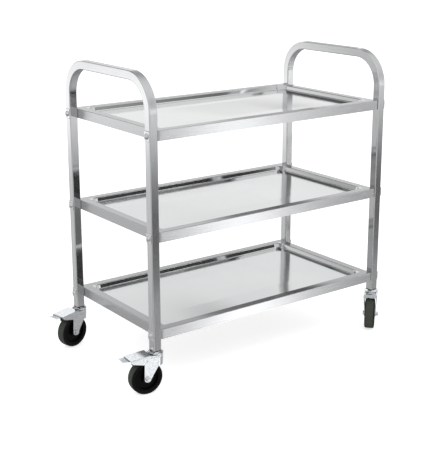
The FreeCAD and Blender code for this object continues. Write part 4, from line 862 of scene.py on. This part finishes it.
# %% Panels and cards of the mirrored room
SURFACES = [    # name, side angle and its edges, heights, level
    ("black column", ahead, [(23, 0), (26, 1), (40, 1), (43, 0)],
     [(6, 0), (10, 1), (22, 1), (27, 0)], 0.03),
    ("high white card", behind, [(5, 0), (12, 1), (33, 1), (35.5, 0)],
     [(23, 0), (26, 1), (50, 1), (56, 0)], 1.1),
    ("grey card", behind, [(-85, 0), (-75, 1), (-45, 1), (-38, 0)],
     [(9.5, 0), (10.5, 1), (13.5, 1), (15.5, 0.5), (22, 0.4), (27, 0)], 0.3),
    ("foot of the white panel", ahead, [(35.5, 0), (37.7, 1), (41.4, 1), (43.6, 0)],
     [(-60, 0), (-48, 1), (-23, 1), (-20.5, 0)], 3.5),
    ("white panel", ahead, [(34.9, 0), (37.1, 1), (39.3, 1), (40.2, 0), (41.1, 0), (41.5, 0.8),
                            (41.8, 0.8), (42.8, 0)],
     [(-23, 0), (-20.5, 0.45), (-11.5, 0.6), (-6, 0.45), (10, 0)], 3.5),
    ("low white panel", ahead, [(4, 0), (8, 1), (25, 1), (28, 0)],
     [(-60, 0), (-50, 1), (-22, 1), (-19, 0)], 1.05),
]
for _, side_angle, edges, heights, level in SURFACES:
    covered = add_node(studio, "ShaderNodeMath", {
        0: levels(side_angle, edges), 1: levels(height, heights)}, operation="MULTIPLY")
    room = add_node(studio, "ShaderNodeMix", {
        "Factor": covered.outputs[0], 6: room, 7: (level, level, level, 1)},
        data_type="RGBA").outputs[2]
print("surfaces:", ", ".join(surface[0] for surface in SURFACES))

# %% [markdown]
# ## Who sees which room
#
# Only mirror rays see the drawn room. The camera sees plain white, for the catalogue's
# background. Everything else gets an even soft light, a little below full strength, so that a
# colour renders about as it is written.

# %% Background by kind of ray
SOFT_LIGHT = 0.75
rays = add_node(studio, "ShaderNodeLightPath")
mirrored = add_node(studio, "ShaderNodeBackground", {"Color": room, "Strength": 1.0})
soft = add_node(studio, "ShaderNodeBackground", {
    "Color": colour("#ffffff"), "Strength": SOFT_LIGHT})
plain = add_node(studio, "ShaderNodeBackground", {"Color": colour("#ffffff"), "Strength": 1.0})
lit = add_node(studio, "ShaderNodeMixShader", {
    0: rays.outputs["Is Glossy Ray"], 1: soft.outputs[0], 2: mirrored.outputs[0]})
seen = add_node(studio, "ShaderNodeMixShader", {
    0: rays.outputs["Is Camera Ray"], 1: lit.outputs[0], 2: plain.outputs[0]})
add_node(studio, "ShaderNodeOutputWorld", {"Surface": seen.outputs[0]})
print("nodes of the world:", len(studio.nodes))

# %% [markdown]
# ## Lamps
#
# Two large soft lamps give matt parts some shape: the tyres get a lighter side and the cart a
# soft shadow. They stay out of the mirror images, which the drawn room already holds.

# %% Lamps
CART_MIDDLE = Vector((0, 0, 0.4))               # metres, as all the lamps' sizes


def softbox(name, place, size, power):
    """Round area lamp that points at the middle of the cart."""
    light = bpy.data.lights.new(name, "AREA")
    light.shape, light.size, light.energy = "DISK", size, power
    lamp = bpy.data.objects.new(name, light)
    bpy.context.scene.collection.objects.link(lamp)
    lamp.location = place
    aim = CART_MIDDLE - Vector(place)
    lamp.rotation_euler = aim.to_track_quat("-Z", "Y").to_euler()
    lamp.visible_glossy = False
    return lamp


key = softbox("key_softbox", place=(-2.6, -2.0, 3.2), size=1.8, power=25)
fill = softbox("fill_softbox", place=(2.8, -1.6, 2.6), size=2.2, power=12)
print("lamps:", key.data.energy, "and", fill.data.energy, "W")

# %% [markdown]
# ## Camera at the photograph's place
#
# The camera's place and lens were solved from the edges of trays and legs. The photograph looks
# along a direction a little above the cart's middle and is cut afterwards, so the lens is shifted
# and the camera isn't tilted further. Its position is counted from the middle of the legs, which
# stands a little to the right of the frame's origin.

# %% Camera at the photograph's place
AZIMUTH, ELEVATION, ROLL = math.radians(-36.5), math.radians(14.9), math.radians(-0.1)
LEGS_MIDDLE = 19.2              # millimetres to the right of the origin
CAMERA_PLACE = Vector((-1813.3 + LEGS_MIDDLE, -2393.4, 1232.2)) * MM
FOCAL_PIXELS, FRAME_HEIGHT, PRINCIPAL_ABOVE_MIDDLE = 1017.0, 460, 30       # pixels of the photo
SENSOR = 36.0                   # millimetres, along the frame's longer side
camera_data = bpy.data.cameras.new("catalogue_camera")
camera = bpy.data.objects.new("catalogue_camera", camera_data)
bpy.context.scene.collection.objects.link(camera)
bpy.context.scene.camera = camera
camera_data.sensor_width = SENSOR
camera_data.lens = FOCAL_PIXELS * SENSOR / FRAME_HEIGHT
camera_data.shift_y = -PRINCIPAL_ABOVE_MIDDLE / FRAME_HEIGHT
camera_data.clip_end = FLOOR_SIZE
backwards = Vector((math.sin(AZIMUTH) * math.cos(ELEVATION),
                    -math.cos(AZIMUTH) * math.cos(ELEVATION), math.sin(ELEVATION)))
rightwards = (-backwards).cross(Vector((0, 0, 1))).normalized()
upwards = rightwards.cross(-backwards)
turn = Matrix((rightwards, upwards, backwards)).transposed()
turn = Matrix.Rotation(ROLL, 3, backwards) @ turn
camera.matrix_world = Matrix.Translation(CAMERA_PLACE) @ turn.to_4x4()
bpy.context.scene.view_settings.view_transform = "Standard"
print("lens:", round(camera_data.lens, 1), "mm on a sensor of", SENSOR, "mm")

# %% Finish
bpy.context.view_layer.update()
